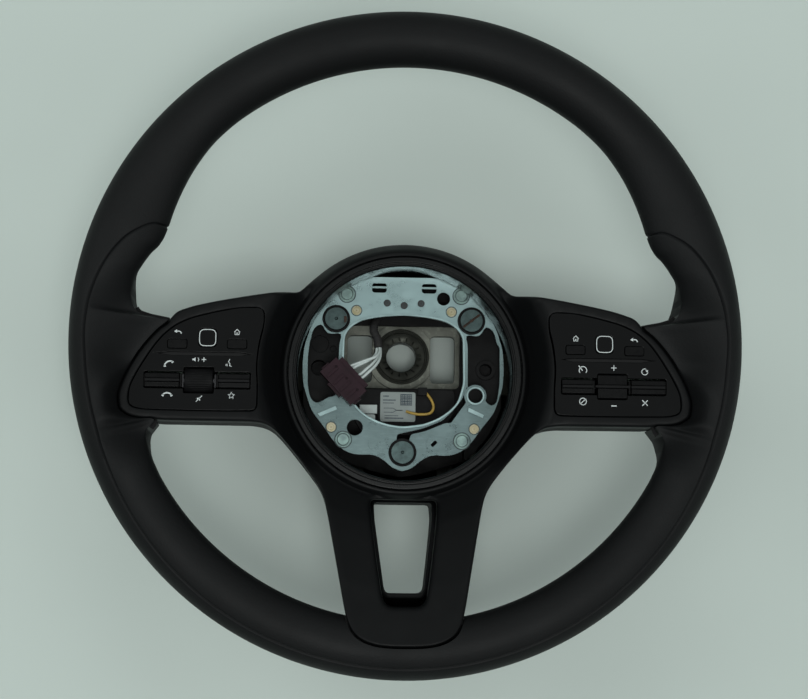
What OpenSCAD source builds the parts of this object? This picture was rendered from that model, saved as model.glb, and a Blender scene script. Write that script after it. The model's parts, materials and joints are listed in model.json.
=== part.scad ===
// Car steering wheel lying on its back, shown without its airbag.
// +Z is the steering axis and points at the driver, +Y points at twelve o'clock.
// The origin is on the axis of the shaft bore, at the rear face of its boss.

/* [Rim] */
// Outer diameter of the wheel
wheel_od = 370; // [364:1:378]
// Width of the grip, measured across the rim
grip_w = 31.5; // [30:0.5:33]
// Thickness of the grip from front to back
grip_h = 30; // [28:0.5:32]
// Height of the middle of the rim above the rear face of the boss
rim_z = 95; // [93:0.5:97]
// How far each thumb rest stands in from the rim
thumb_rest = 8.6; // [5:0.2:10]
// Radius of the cast ring inside the grip
core_r = 5.4; // [4:0.2:5.6]
// Width of the cast arms to the rim's sides
arm_w = 24; // [18:1:26]
// Width of the cast legs in the lower spoke
leg_w = 9; // [7:0.5:9.5]

/* [Hub] */
// Distance of the hub opening's centre below the shaft bore
hub_drop = 15.5; // [14.5:0.5:16.5]
// Radius of the opening that takes the airbag
hub_r = 60.5; // [60.2:0.1:62]
// Radius of the groove between the hub liner and the front trim
groove_r = 66; // [65.5:0.1:67]
// Height of the hub ring's face
ring_z = 69; // [67:0.5:71]
// Radius of the trim round the hub
hub_skin_r = 74.7; // [73.5:0.1:76]
// Radius of the splined bore's clear hole
bore_r = 8.8; // [8:0.1:9.5]
// Radius of the steel boss
boss_r = 16.5; // [15:0.1:16.8]
// Length of the steel boss
boss_h = 13; // [12.5:0.5:16]

/* [Covers] */
// Wall of the moulded covers
cover_t = 2.5; // [2:0.1:3]
// Depth of the front trim's sides
trim_depth = 10; // [9:0.5:11]
// Gap between covers, and between a panel and its opening
seam = 0.4; // [0.2:0.05:0.6]
// Height of the switch panels' face
panel_z = 89.3; // [89:0.1:90]
// Thickness of the switch panels
panel_t = 2.5; // [2:0.1:3]

/* [Airbag plate] */
// Thickness of the zinc plated sheet
sheet_t = 1.5; // [1:0.1:2]
// Height of the sheet's upper face
sheet_z = 45.5; // [45:0.1:47]
// Radius of the guide bolts' heads
bolt_head_r = 6.4; // [6:0.1:6.8]
// Travel of the plate when the horn is pressed
horn_travel = 1.2; // [0.8:0.1:1.5]

/* [Switches] */
// Travel of a small key
key_travel = 0.5; // [0.3:0.1:0.6]
// Radius of the volume roller
roller_r = 6.9; // [6.6:0.1:7.1]
// Gap round a key in its hole
key_gap = 0.25; // [0.2:0.05:0.35]

/* [Cables] */
// Diameter of the taped sleeve
sleeve_d = 5; // [4:0.5:6]
// Diameter of one wire
wire_d = 1.6; // [1.2:0.1:1.8]

/* [Hidden] */
$fn = 64;
eps = 0.01;
air = 0.3;
far = 200;

// Rim
rim_r = (wheel_od - grip_w) / 2;
rim_in = rim_r - grip_w / 2;
// Front and back heights of the grip where it meets the side spokes
pad_front = 92;
pad_back = 54.6;
// Inward reach of the side spokes' roots, by the angle above three o'clock
ROOT = [[-30, 0], [-22, 1.2], [-20.3, 2.5], [-19.3, 5.5], [-18.4, 8.3], [-17.2, 0.5], [-16, -5],
    [-14, -8.8], [-12, -8.3], [-9, -4.5], [-5.5, 1.8], [-1.6, 9.2], [1.8, 16.5], [4, 21.7],
    [4.3, 14.4], [4.6, 8.6], [5.1, 5], [5.8, 3], [7, 1], [9, 0], [12, 0]];
// Share of the thumb rest's reach, by the same angle
THUMB = [[9, 0], [12, 0.05], [14.5, 0.26], [18, 0.62], [20, 0.9], [22.3, 1], [24.2, 0.97],
    [28.5, 0.78], [32.6, 0.58], [40, 0.25], [46, 0.06], [52, 0]];
ANGLES = concat([for (a = [-90 : 7.5 : -37.5]) a],
    [-31, -26, -22, -20.3, -19.3, -18.4, -17.8, -17.2, -16, -14, -12, -9, -5.5, -1.6, 1.8, 3, 4,
     4.3, 4.6, 5.1, 5.8, 7, 9, 12, 14.5, 18, 20, 22.3, 24.2, 28.5, 32.6, 38, 44, 52],
    [for (a = [60 : 7.5 : 90]) a]);
ring_sides = 20;

// Where the lower spoke lies in the rim: from this distance out, down to this height
TONGUE = [[rim_in - 4.5, rim_z - 1], [rim_r - core_r - 6, rim_z + core_r + 0.6]];
arm_y = -10;
leg_x = 26;

// Hub
hub_c = [0, -hub_drop];
plate_floor = 6;
floor_z = 12;
carrier_z = 20;
land_z = 36;
rest_z = -12;
rear_r = 48;
wing_split_x = 77.3;
spoke_split_y = 84.7;
sheet_back = sheet_z - sheet_t;
BOLTS = [[39, 17.5], [-39, 17.5], [0, -59]];
bush_r = bolt_head_r + 1.6;
REAR_SCREWS = [for (s = [-1, 1], t = [-1, 1]) [s * 38.2, -hub_drop + t * 38.2]];

// Switch modules, drawn for the right side
panel_back = panel_z - panel_t;
MODULE = [[79.3, 16.8], [92.5, 16.6], [105.4, 14], [118.8, 10.5], [127.4, 6.4], [134.5, 0.3], [140, -7],
    [146.6, -17.7], [151.7, -27.8], [152.2, -37.9], [145.8, -39.9], [121, -40.2], [97, -40.2],
    [82.3, -39.8], [82.2, -25.5], [83, -14.5], [81.8, -2.8], [79, 8.8]];
key_size = [10.3, 4.8];
home_at = [93.45, -3.6];
back_at = [126.2, -3.8];
pad_size = [9.8, 9.9];
pad_at = [109.6, -0.3];
slot_y = -23.8;
slot_h = 9.5;
slot_u = [85.4, 144.2];
mid_u = [105.6, 122.4];
mid_h = 2 * roller_r + 0.7;
key_proud = 0.6;
floor_t = 1.4;
case_z = 72;
case_inset = 1.2;
board_z = 74.4;
board_t = 1.4;
switch_h = 3.2;
rib_t = 1;
RIBS = [84.85, 103.5, 123.5, 143.7];
side_pivot_z = 84;
mid_pivot_z = 80;
pin_r = 1.2;
axle_r = 1.2;

// Cable routes, chosen by eye along the photographed cables
SLEEVE = [[-13, 24, 27], [-15, 20, 32], [-16.8, 15.5, 37.5], [-17.2, 11.5, 40.5], [-15.2, 6.8, 42], [-14.5, 1.5, 42.5]];
WIRES = [
    [[-13.9, 1.5, 43.2], [-14.2, -2, 46], [-17, -5, 50], [-22, -7, 51.6], [-27, -9, 51.8], [-33.4, -11.4, 51.8]],
    [[-15.4, 1.5, 42.6], [-16, -2.5, 45.4], [-19, -6, 49.6], [-23.5, -8.6, 51.4], [-28, -11, 51.8], [-31.7, -13.3, 51.8]],
    [[-14.5, 1.5, 41.6], [-14.8, -3.5, 44.4], [-17.6, -8.2, 49], [-21, -11.6, 51.4], [-24.6, -14.8, 51.8], [-28.4, -16.8, 51.8]],
    [[-13.3, 1.5, 42], [-13.6, -4.6, 44.8], [-16, -9.4, 49], [-19.4, -13, 51.4], [-23, -16.4, 51.8], [-26.6, -18.6, 51.8]]];
SENSOR = [[11.8, -21.5, 31.6], [14.6, -24, 32], [17.4, -28, 32.4], [18.3, -32, 32.4], [16.4, -35, 32.4],
    [12, -35.8, 32.2], [7, -35.4, 31.8], [2.5, -34, 31]];
connector_at = [-33.4, -18.6];
connector_turn = -47;
connector_size = [25.7, 15.3, 9];
connector_z = sheet_z + 1.8;

// Smooth step from 0 to 1
function ease(t) = let (s = min(1, max(0, t))) s * s * (3 - 2 * s);
function mix(a, b, t) = a + (b - a) * t;
// Right half of an outline, closed with its mirror image
function both_halves(half) = concat(half, [for (i = [len(half) - 1 : -1 : 0]) [-half[i][0], half[i][1]]]);
function unit(v) = v / max(norm(v), eps);
// A closed outline with each corner rounded over the length r
function soften(pts, r, n = 3) = [for (i = [0 : len(pts) - 1])
    let (p = pts[i], a = pts[(i + len(pts) - 1) % len(pts)], b = pts[(i + 1) % len(pts)],
         da = min(r, norm(a - p) * 0.48), db = min(r, norm(b - p) * 0.48),
         pa = p + da * unit(a - p), pb = p + db * unit(b - p))
    for (k = [0 : n]) let (t = k / n) (1 - t) * (1 - t) * pa + 2 * t * (1 - t) * p + t * t * pb];
// A rounded rectangle
function pad_pts(w, h, r) = soften([[w / 2, h / 2], [-w / 2, h / 2], [-w / 2, -h / 2], [w / 2, -h / 2]], r, 4);

// Inner radius of the grip at an angle counted from three o'clock
function side_angle(a) = let (b = (a % 360 + 360) % 360) b > 270 ? b - 360 : b > 90 ? 180 - b : b;
function reach(a) = let (s = side_angle(a))
    (s < 9 ? (s > -30 ? lookup(s, ROOT) : 0) : thumb_rest * lookup(s, THUMB));
function grip_in(a) = rim_in - reach(a);
// How far the grip has turned into the root of a side spoke
function root_share(a) = let (s = side_angle(a)) ease((s + 27) / 8) * ease((14 - s) / 8);

// One ring of the grip's skin: an ellipse, drawn down to the spoke at its root
function grip_point(a, k) = let (
    f = (k + 0.5) * 360 / ring_sides,
    inner = cos(f) < 0,
    r = inner ? rim_r - (rim_r - grip_in(a)) * min(1, -cos(f) / cos(180 / ring_sides)) : rim_r + grip_w / 2 * cos(f),
    z = rim_z + grip_h / 2 * sin(f),
    crest = rim_r + 7,
    back = (crest - r) / (crest - grip_in(a)),
    t = mix(ease(back), pow(max(0, back), 4), ease((grip_in(a) - rim_r + core_r + 15.85) / 12)),
    low = sin(f) > 0 ? mix(rim_z + grip_h / 2 - 1.6, pad_front, t) : mix(rim_z - grip_h / 2 + 1.6, pad_back, t),
    w = r < crest ? root_share(a) : 0)
    [r * cos(a), r * sin(a), mix(z, low, w)];

// Skins made of closed rings, each a list of points, joined into one closed loop
module ring_solid(rings) {
    m = len(rings[0]);
    n = len(rings);
    polyhedron(points = [for (ring = rings) each ring],
        faces = [for (i = [0 : n - 1], k = [0 : m - 1])
            let (a = i * m + k, b = i * m + (k + 1) % m, c = ((i + 1) % n) * m + (k + 1) % m, d = ((i + 1) % n) * m + k)
            each [[a, c, b], [a, d, c]]]);
}

// Height of the covers by distance from the hub's centre
WING = [[66, ring_z], [68.3, ring_z], [70.5, ring_z - 3.5], [79, 83.5], [84, 87.6], [92, 89], [120, 89.8], [150, 90.6], [175, 92]];
LEG = [[66, ring_z], [68.3, ring_z], [70.5, ring_z - 3.5], [78, 71.5], [86.5, 78], [95, 83], [120, 96], [140, 104.6], [153, 108.6], [175, 110]];
CROWN = [[66, ring_z], [68.3, ring_z], [70.5, ring_z - 2], [74.7, 60], [80, 52], [100, 52]];
WING_BACK = [[40, rest_z], [58, rest_z], [62, -9], [70, 10], [82, 42], [92, 54], [120, 55], [175, 55]];
LEG_BACK = [[40, rest_z], [58, rest_z], [62, -9], [70, 10], [82, 38], [95, 52], [120, 66], [145, 80], [175, 88]];
// Angle from straight down, 0 to 180, decides how much of each profile counts
function down_angle(h) = abs(((h + 90) % 360 + 540) % 360 - 180);
function leg_share(h) = 1 - ease((down_angle(h) - 38) / 20);
function crown_share(h) = ease((down_angle(h) - 118) / 22);
function front_z(r, h) = mix(mix(lookup(r, WING), lookup(r, LEG), leg_share(h)), lookup(r, CROWN), crown_share(h));
function back_z(r, h) = mix(lookup(r, WING_BACK), lookup(r, LEG_BACK), leg_share(h));
FRONT_R = [44, 68.3, 70.5, 74.7, 79, 84, 92, 106, 120, 140, 153, 175];
BACK_R = [40, 58, 62, 70, 76, 82, 92, 106, 120, 145, 175];
hub_step = 7.2;

// Everything behind the front surface, lowered by drop
module behind_front(drop) {
    translate(hub_c) ring_solid([for (h = [0 : hub_step : 359]) [
        [FRONT_R[0] * cos(h), FRONT_R[0] * sin(h), -40],
        for (r = FRONT_R) [r * cos(h), r * sin(h), front_z(r, h) - drop],
        [175 * cos(h), 175 * sin(h), -40]]]);
}

// Everything in front of the back surface, raised by lift
module before_back(lift) {
    translate(hub_c) ring_solid([for (h = [0 : hub_step : 359]) [
        [175 * cos(h), 175 * sin(h), far],
        for (i = [len(BACK_R) - 1 : -1 : 0]) let (r = BACK_R[i]) [r * cos(h), r * sin(h), back_z(r, h) + lift],
        [BACK_R[0] * cos(h), BACK_R[0] * sin(h), far]]]);
}

// Outline of the hub, wings and lower spoke, seen from the front
WING_EDGE = [for (a = [4, 2.5, 0.5, -1.6, -5.5, -9, -12, -14, -16, -17.2, -18.3])
    let (r = grip_in(a) - seam) [r * cos(a), r * sin(a)]];
COVER = both_halves(concat([[0, 40], [52, 31], [58.7, 29.6], [67, 27.4], [79, 25.3], [105.7, 20.4], [118, 17.5],
    [127, 14.2]], WING_EDGE, [[135, -46], [80, -46], [73, -48.8], [64.4, -58], [56.3, -68], [48.3, -78.5],
    [44.7, -85.4], [42.6, -94], [39.7, -109], [32.9, -145], [31, -153], [27.8, -160], [21, -164.5], [11, -166.8]]));
// The window in the lower spoke, at the front and where it goes through
SLOT_FRONT = both_halves([[18.6, -86.7], [18.2, -98], [12.4, -140], [10.5, -143.8], [7.5, -145.4]]);
SLOT_BACK = both_halves([[16.4, -87.9], [16, -98], [10.9, -136.5], [9, -138.4]]);

module cover_outline(inset = 0) {
    offset(delta = -inset) {
        polygon(soften(COVER, 4, 2));
        translate(hub_c) circle(r = hub_skin_r, $fn = 96);
    }
}

module on_both_sides() {
    children();
    mirror([1, 0, 0]) children();
}

// Side "left" is the driver's left
module on_side(side) {
    if (side == "left") mirror([1, 0, 0]) children();
    else children();
}

module tube(route, d, sides) {
    n = len(route);
    dirs = [for (i = [0 : n - 1]) unit(route[min(n - 1, i + 1)] - route[max(0, i - 1)])];
    side_dirs = [for (v = dirs) unit(cross(v, abs(v[2]) > 0.9 ? [1, 0, 0] : [0, 0, 1]))];
    pts = [for (i = [0 : n - 1], k = [0 : sides - 1]) let (t = k * 360 / sides)
        route[i] + d / 2 * (cos(t) * side_dirs[i] + sin(t) * cross(dirs[i], side_dirs[i]))];
    walls = [for (i = [0 : n - 2], k = [0 : sides - 1])
        let (a = i * sides + k, b = i * sides + (k + 1) % sides, c = (i + 1) * sides + (k + 1) % sides, e = (i + 1) * sides + k)
        each [[a, c, b], [a, e, c]]];
    ends = [[for (k = [0 : sides - 1]) k], [for (k = [sides - 1 : -1 : 0]) (n - 1) * sides + k]];
    polyhedron(points = pts, faces = concat(walls, ends));
}

// Points between the chosen ones, on a curve through them
function through(p, n) = concat([for (i = [0 : len(p) - 2], k = [0 : n - 1])
    let (t = k / n, a = p[max(0, i - 1)], b = p[i], c = p[i + 1], e = p[min(len(p) - 1, i + 2)])
    0.5 * (2 * b + (c - a) * t + (2 * a - 5 * b + 4 * c - e) * t * t + (3 * b - 3 * c + e - a) * t * t * t)],
    [p[len(p) - 1]]);

// Cast magnesium frame: hub plate, two side arms and two lower legs, cast on to the ring in the rim
module arm_profile() {
    polygon([[40, plate_floor], [60, plate_floor + 2], [68, 17], [81, 55], [87, 60.8], [150, 60.8], [161, 74],
        [rim_r, rim_z - 4], [rim_r, rim_z + 1], [rim_r - 6, rim_z - 4], [157, 76], [149, 68], [87, 68],
        [78, 62], [64, 22], [57, floor_z + 1], [40, floor_z]]);
}

module leg_profile() {
    polygon([[40, plate_floor], [62, plate_floor + 1], [73, 16], [84, 42], [97, 58], [130, 76], [150, 85],
        [rim_r, rim_z - 4], [rim_r, rim_z + 1], [150, 92], [128, 84], [94, 66.5], [80, 49], [69, 21],
        [62, floor_z], [40, floor_z]]);
}

// The room that the arms and legs take in what surrounds them
module limb_room() {
    on_both_sides() translate([0, arm_y, 0]) bar(arm_w + 2 * seam) offset(delta = seam) arm_profile();
    on_both_sides() translate([leg_x, 0, 0]) rotate([0, 0, -90]) bar(leg_w + 2 * seam) offset(delta = seam) leg_profile();
}

module bar(width) {
    rotate([90, 0, 0]) translate([0, 0, -width / 2]) linear_extrude(width) children();
}

// A bar with a channel down its front face, as a casting has
module ribbed_bar(width, rib) {
    difference() {
        bar(width) children();
        translate([0, 0, 3]) bar(width - 2 * rib) difference() {
            children();
            translate([rim_r - 14, 0]) square([40, far]);
            square([62, far]);
        }
    }
}

module hub_outline() {
    polygon(soften(both_halves([[30, 30], [46, 28], [49, 10], [49, -46], [44, -60], [20, -66]]), 8, 4));
}

// The side arms and lower legs of the casting, drawn apart from its hub
module armature() {
    color([0.55, 0.54, 0.5]) difference() {
        union() {
            on_both_sides() translate([0, arm_y, 0]) ribbed_bar(arm_w, 4) arm_profile();
            on_both_sides() translate([leg_x, 0, 0]) rotate([0, 0, -90]) ribbed_bar(leg_w, 2.4) leg_profile();
        }
        linear_extrude(far) hub_outline();
        ring_bar(core_r);
        on_both_sides() for (u = [96, 138]) translate([u, arm_y, 40]) cylinder(r = 1.9, h = 40);
    }
}

module hub_casting() {
    color([0.55, 0.54, 0.5]) difference() {
        union() {
            translate([0, 0, plate_floor]) linear_extrude(floor_z - plate_floor) hub_outline();
            for (p = BOLTS) translate([p[0], p[1], floor_z - 1]) cylinder(r = 6, h = carrier_z - floor_z + 1);
            for (p = REAR_SCREWS) translate([p[0], p[1], rest_z + 6.3]) cylinder(r = 5, h = plate_floor + 1 - rest_z - 6.3);
            translate([0, 0, plate_floor]) cylinder(r = boss_r + 3.5, h = floor_z - plate_floor + 1);
        }
        translate([0, 0, -eps]) cylinder(r = boss_r, h = far);
        on_both_sides() translate([24.5, -1.4, 0]) linear_extrude(carrier_z) polygon(pad_pts(14.6, 28.2, 3));
        for (p = BOLTS) translate([p[0], p[1], plate_floor - eps]) cylinder(r = 2.6, h = 20);
        for (p = REAR_SCREWS) translate([p[0], p[1], rest_z]) cylinder(r = 1.6, h = 14);
    }
}

module ring_bar(r) {
    translate([0, 0, rim_z]) rotate_extrude($fn = 180) translate([rim_r, 0]) circle(r = r, $fn = 12);
}

module rim_core() {
    color([0.45, 0.45, 0.43]) ring_bar(core_r);
}

module shaft_boss() {
    color([0.5, 0.49, 0.46]) difference() {
        cylinder(r = boss_r, h = boss_h);
        translate([0, 0, -eps]) cylinder(r = bore_r, h = boss_h + 1);
        translate([0, 0, boss_h - 2.4]) cylinder(r1 = bore_r + 0.4, r2 = bore_r + 3.6, h = 2.4 + eps);
        translate([0, 0, boss_h - 0.8]) difference() {
            cylinder(r = boss_r - 1.4, h = 1);
            cylinder(r = boss_r - 2.4, h = 1);
        }
    }
}

module rim_grip() {
    color([0.07, 0.07, 0.08]) difference() {
        ring_solid([for (a = concat(ANGLES, [for (i = [len(ANGLES) - 2 : -1 : 1]) 180 - ANGLES[i]]))
            [for (k = [ring_sides - 1 : -1 : 0]) grip_point(a, k)]]);
        ring_bar(core_r + 0.05);
        limb_room();
        for (step = TONGUE) translate([0, 0, step[1] - 0.5]) linear_extrude(40) intersection() {
            offset(delta = seam) polygon(soften(COVER, 4, 2));
            translate([-40, -far]) square([80, far - step[0]]);
        }
    }
}

// Front moulding of hub, wings and lower spoke
module front_trim() {
    color([0.09, 0.09, 0.1]) difference() {
        intersection() {
            translate([0, 0, 20]) linear_extrude(100) cover_outline();
            behind_front(0);
        }
        behind_front(trim_depth);
        intersection() {
            translate([0, 0, 20]) linear_extrude(100) difference() {
                cover_outline(cover_t);
                offset(delta = cover_t) polygon(soften(SLOT_FRONT, 2, 2));
            }
            behind_front(cover_t + 0.5);
        }
        translate([hub_c[0], hub_c[1], 0]) cylinder(r = groove_r + seam, h = far, $fn = 128);
        on_both_sides() translate([0, 0, 60]) linear_extrude(60) offset(delta = seam) polygon(soften(MODULE, 3, 2));
        translate([0, 0, 40]) linear_extrude(80) polygon(soften(SLOT_FRONT, 2, 2));
        for (step = TONGUE) translate([-40, -far, 20]) cube([80, far - step[0], step[1] - 20]);
    }
}

module hub_liner() {
    color([0.1, 0.1, 0.11]) translate(hub_c) rotate_extrude($fn = 128) polygon([
        [hub_r, sheet_z + 2.5], [hub_r + 1.8, sheet_z + 2.5], [hub_r + 1.8, ring_z - 5.5], [groove_r + 2, ring_z - 5.5],
        [groove_r + 2, ring_z - cover_t - 0.9], [groove_r, ring_z - cover_t - 0.9], [groove_r, ring_z - 0.6],
        [groove_r - 0.6, ring_z], [hub_r + 2.6, ring_z], [hub_r + 2.3, ring_z - 0.7], [hub_r + 1.5, ring_z - 0.7],
        [hub_r + 1.2, ring_z - 0.2], [hub_r + 0.6, ring_z - 0.5], [hub_r, ring_z - 1.6]]);
}

// What the lower spoke may not reach: the rim, less a gap
module beyond_rim(gap) {
    difference() {
        translate([-60, -far]) square([120, far - 100]);
        circle(r = rim_in - gap, $fn = 180);
    }
}

// The back covers' shell. Three covers share it: hub, wings and lower spoke
module back_shell() {
    difference() {
        union() {
            difference() {
                intersection() {
                    translate([0, 0, rest_z]) linear_extrude(130) difference() {
                        cover_outline(0.2);
                        beyond_rim(0.6);
                    }
                    before_back(0);
                    behind_front(trim_depth + air);
                }
                intersection() {
                    translate([0, 0, rest_z - 1]) linear_extrude(150) difference() {
                        cover_outline(0.2 + cover_t);
                        beyond_rim(0.6 + cover_t);
                        offset(delta = cover_t) polygon(soften(SLOT_BACK, 2, 2));
                    }
                    before_back(cover_t);
                }
            }
            for (p = REAR_SCREWS) translate([p[0], p[1], rest_z]) cylinder(r = 6, h = 6);
        }
        translate([hub_c[0], hub_c[1], rest_z - 1]) cylinder(r = rear_r, h = 20, $fn = 96);
        translate([0, 0, rest_z]) linear_extrude(130) polygon(soften(SLOT_BACK, 2, 2));
        intersection() {
            limb_room();
            difference() {
                translate([-far, -far, rest_z]) cube([2 * far, 2 * far, far]);
                translate([0, 0, rest_z - 1]) cylinder(r = 128, h = 2 * far);
            }
        }
        for (p = REAR_SCREWS) translate([p[0], p[1], rest_z - 1]) {
            cylinder(r = 2, h = 12);
            cylinder(r = 4, h = 4);
        }
    }
}

module rear_cover() {
    color([0.08, 0.08, 0.09]) intersection() {
        back_shell();
        translate([-wing_split_x, -spoke_split_y, -far]) cube([2 * wing_split_x, far, 2 * far]);
    }
}

module wing_covers() {
    color([0.08, 0.08, 0.09]) difference() {
        back_shell();
        translate([-wing_split_x, -far, -far]) cube([2 * wing_split_x, 2 * far, 2 * far]);
    }
}

module spoke_cover() {
    color([0.08, 0.08, 0.09]) intersection() {
        back_shell();
        translate([-wing_split_x, -far - spoke_split_y, -far]) cube([2 * wing_split_x, far, 2 * far]);
    }
}

module rear_screws() {
    color([0.3, 0.3, 0.3]) for (p = REAR_SCREWS) translate([p[0], p[1], rest_z + 0.5]) {
        cylinder(r = 3.6, h = 2.4);
        cylinder(r = 1.55, h = 12);
    }
}

// Black moulding that carries the airbag plate
module carrier() {
    hole_y = -1.5;
    color([0.06, 0.06, 0.07]) difference() {
        union() {
            translate([0, 0, carrier_z]) linear_extrude(4) carrier_outline();
            translate([0, 0, carrier_z]) linear_extrude(land_z - carrier_z) difference() {
                carrier_outline();
                translate([-36, -far]) square([72, 2 * far]);
            }
            for (p = BOLTS) translate([p[0], p[1], carrier_z]) cylinder(r = 8.5, h = land_z - carrier_z);
            translate([-30, 30, carrier_z]) cube([60, 9, 10]);
            translate([48.1, -9.9, land_z - 1]) cylinder(r = 5.7, h = 2.4);
        }
        translate([0, hole_y, carrier_z - 1]) linear_extrude(30) polygon(pad_pts(68, 37, 4));
        for (p = BOLTS) translate([p[0], p[1], carrier_z - 1]) cylinder(r = 3.4, h = 30);
        translate([48.1, -9.9, land_z - 6]) cylinder(r = 3.6, h = 20);
        translate([-48.6, -9.9, land_z - 8]) cylinder(r = 4.6, h = 20);
        translate([-40.5, 1.3, land_z - 2]) cylinder(r = 1.9, h = 20);
        translate([-48, 4, land_z - 1.5]) cylinder(r = 5, h = 20);
    }
}

module carrier_outline() {
    intersection() {
        translate(hub_c) circle(r = hub_r - 1, $fn = 96);
        polygon(soften(both_halves([[0, 41], [40, 41], [57, 20], [57.5, -40], [38, -62], [12, -70], [0, -72]]), 6, 3));
    }
}

module control_unit() {
    color([0.07, 0.07, 0.08]) difference() {
        translate([0, 0, carrier_z + 4]) linear_extrude(5.6)
            polygon(soften([[31, -21], [31, -34], [22, -48], [-22, -48], [-31, -34], [-31, -21]], 3, 3));
        translate([-25, -38, carrier_z + 4 + 3.6]) cube([11, 8, 4]);
    }
}

module unit_label() {
    color("white") translate([-2.3, -31.4, carrier_z + 9.6]) linear_extrude(0.3) polygon(pad_pts(20.5, 17.3, 1.5));
}

module unit_latch() {
    color([0.8, 0.82, 0.8]) {
        translate([-25, -38, carrier_z + 7.6]) linear_extrude(2.6) polygon([[0.4, 2.5], [10.6, 2.5], [10.6, 7.6], [0.4, 7.6]]);
        translate([-18.4, -38, carrier_z + 9.6]) linear_extrude(1.4) polygon(pad_pts(5.8, 4, 1));
    }
}

// Airbag plate: a pressed sheet with raised edges, windows and holes
PLATE = both_halves([[27.5, 42.3], [33.9, 38.1], [44.8, 26.7], [49.9, 21], [54.2, 11], [57.2, 1], [58, -10],
    [57.3, -21], [52.5, -35.5], [45.5, -44.3], [39.5, -53], [34, -58], [27.5, -60.5], [16, -60.3], [10.3, -63.5],
    [5.6, -68], [0, -69.6]]);
PLATE_HOLE = [[0, 20.1], [13, 19.1], [24, 17], [30.5, 13], [34, 8], [34.5, -19], [31.3, -29.9], [26.2, -35.2],
    [20, -39.4], [11.8, -42.7], [0, -44.2], [-8, -43.2], [-15.1, -41], [-22, -37.4], [-27, -32.5], [-31, -26],
    [-34.5, -18], [-34, 8], [-30.5, 13], [-24, 17], [-13, 19.1]];
LEFT_WINDOW = [[-55, -4.3], [-54.8, -21], [-53.4, -28], [-50.3, -31.7], [-46, -30], [-42.6, -27.5], [-38.6, -27.4],
    [-37.1, -4], [-37.2, 2], [-35.5, 9.5], [-44, 8.6], [-47.4, 15], [-52, 12], [-54, 4]];
RIGHT_WINDOW = [[55.5, 3], [55.6, -18], [54.1, -29.6], [51, -31.7], [47.4, -29.4], [46.4, -22], [41.6, -19.8],
    [37.2, -23.6], [37, 3.5], [35.5, 9.5], [44, 8.6], [47.4, 15], [52, 12], [54, 4]];
CHANNEL = [[37.2, -24], [36.4, -29.5], [27.6, -41.8], [24.8, -41.6], [12.8, -46.6], [4.6, -48.6], [3.6, -53],
    [-3.6, -53], [-3.2, -48.6], [11.8, -44.9], [22.6, -40.4], [28.4, -35], [34, -27.8], [36.9, -20]];

module plate_sheet() {
    difference() {
        polygon(soften(PLATE, 3, 2));
        polygon(soften(PLATE_HOLE, 3, 2));
        polygon(soften(LEFT_WINDOW, 2.5, 2));
        difference() {
            union() {
                polygon(soften(RIGHT_WINDOW, 2.5, 2));
                polygon(soften(CHANNEL, 1.2, 2));
            }
            translate([41.6, -25.8]) circle(r = 6.4);
        }
    }
}

module rim_lip(width) {
    difference() {
        polygon(soften(PLATE_HOLE, 3, 2));
        offset(delta = -width) polygon(soften(PLATE_HOLE, 3, 2));
    }
}

module airbag_plate() {
    lip = 1.2;
    color([0.72, 0.77, 0.8]) difference() {
        union() {
            translate([0, 0, sheet_back]) linear_extrude(sheet_t) plate_sheet();
            translate([0, 0, sheet_back]) linear_extrude(sheet_t + lip) difference() {
                offset(delta = lip) polygon(soften(PLATE_HOLE, 3, 2));
                polygon(soften(PLATE_HOLE, 3, 2));
            }
            translate([0, 0, sheet_back]) linear_extrude(sheet_t + 0.8) difference() {
                translate([41.6, -25.8]) circle(r = 5.2);
                translate([41.6, -25.8]) circle(r = 4.2);
            }
            for (p = [[18, -53.7], [-15, -53.7]]) translate([p[0], p[1], sheet_z - eps]) cylinder(r = 4.6, h = 0.4);
            for (q = [[[-49.2, -37.4], [-38.4, -32.6], [-37.4, -35.1], [-47.6, -39.4]],
                      [[37.5, -32.4], [46.9, -36.9], [45.9, -39], [37, -35]]])
                translate([0, 0, sheet_z - eps]) linear_extrude(1.4) polygon(q);
        }
        for (p = BOLTS) translate([p[0], p[1], 0]) cylinder(r = bush_r - 0.6 + 0.05, h = far);
        translate([22.8, 30.2, 0]) cylinder(r = 3.8, h = far);
        translate([-27.4, -45, 0]) cylinder(r = 4.6, h = far);
        translate([41.6, -25.8, 0]) cylinder(r = 4.2, h = far);
        on_both_sides() translate([14.4, 36, 0]) linear_extrude(far) difference() {
            polygon(pad_pts(8.5, 5.5, 1.8));
            translate([0, 0.4]) square([9, 1.1], center = true);
        }
        translate([18, -53.7, 0]) rotate([0, 0, 45]) linear_extrude(far) polygon(pad_pts(4, 2, 0.9));
        for (p = CORNERS) translate([p[0], p[1], 0]) cylinder(r = 2.6, h = far);
        for (p = STUDS) translate([p[0], p[1], 0]) cylinder(r = 1.5, h = far);
        for (p = PINS) translate([p[0], p[1], 0]) cylinder(r = 1.2, h = far);
    }
}
CORNERS = [[33, 32], [-33, 32], [34, -52], [-34, -52]];
STUDS = [[27.4, 22.6], [-27.4, 22.6], [41, -45], [-41, -45]];
PINS = [[-9.8, 27.2], [9.8, 27.2], [0, 25.9]];

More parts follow.
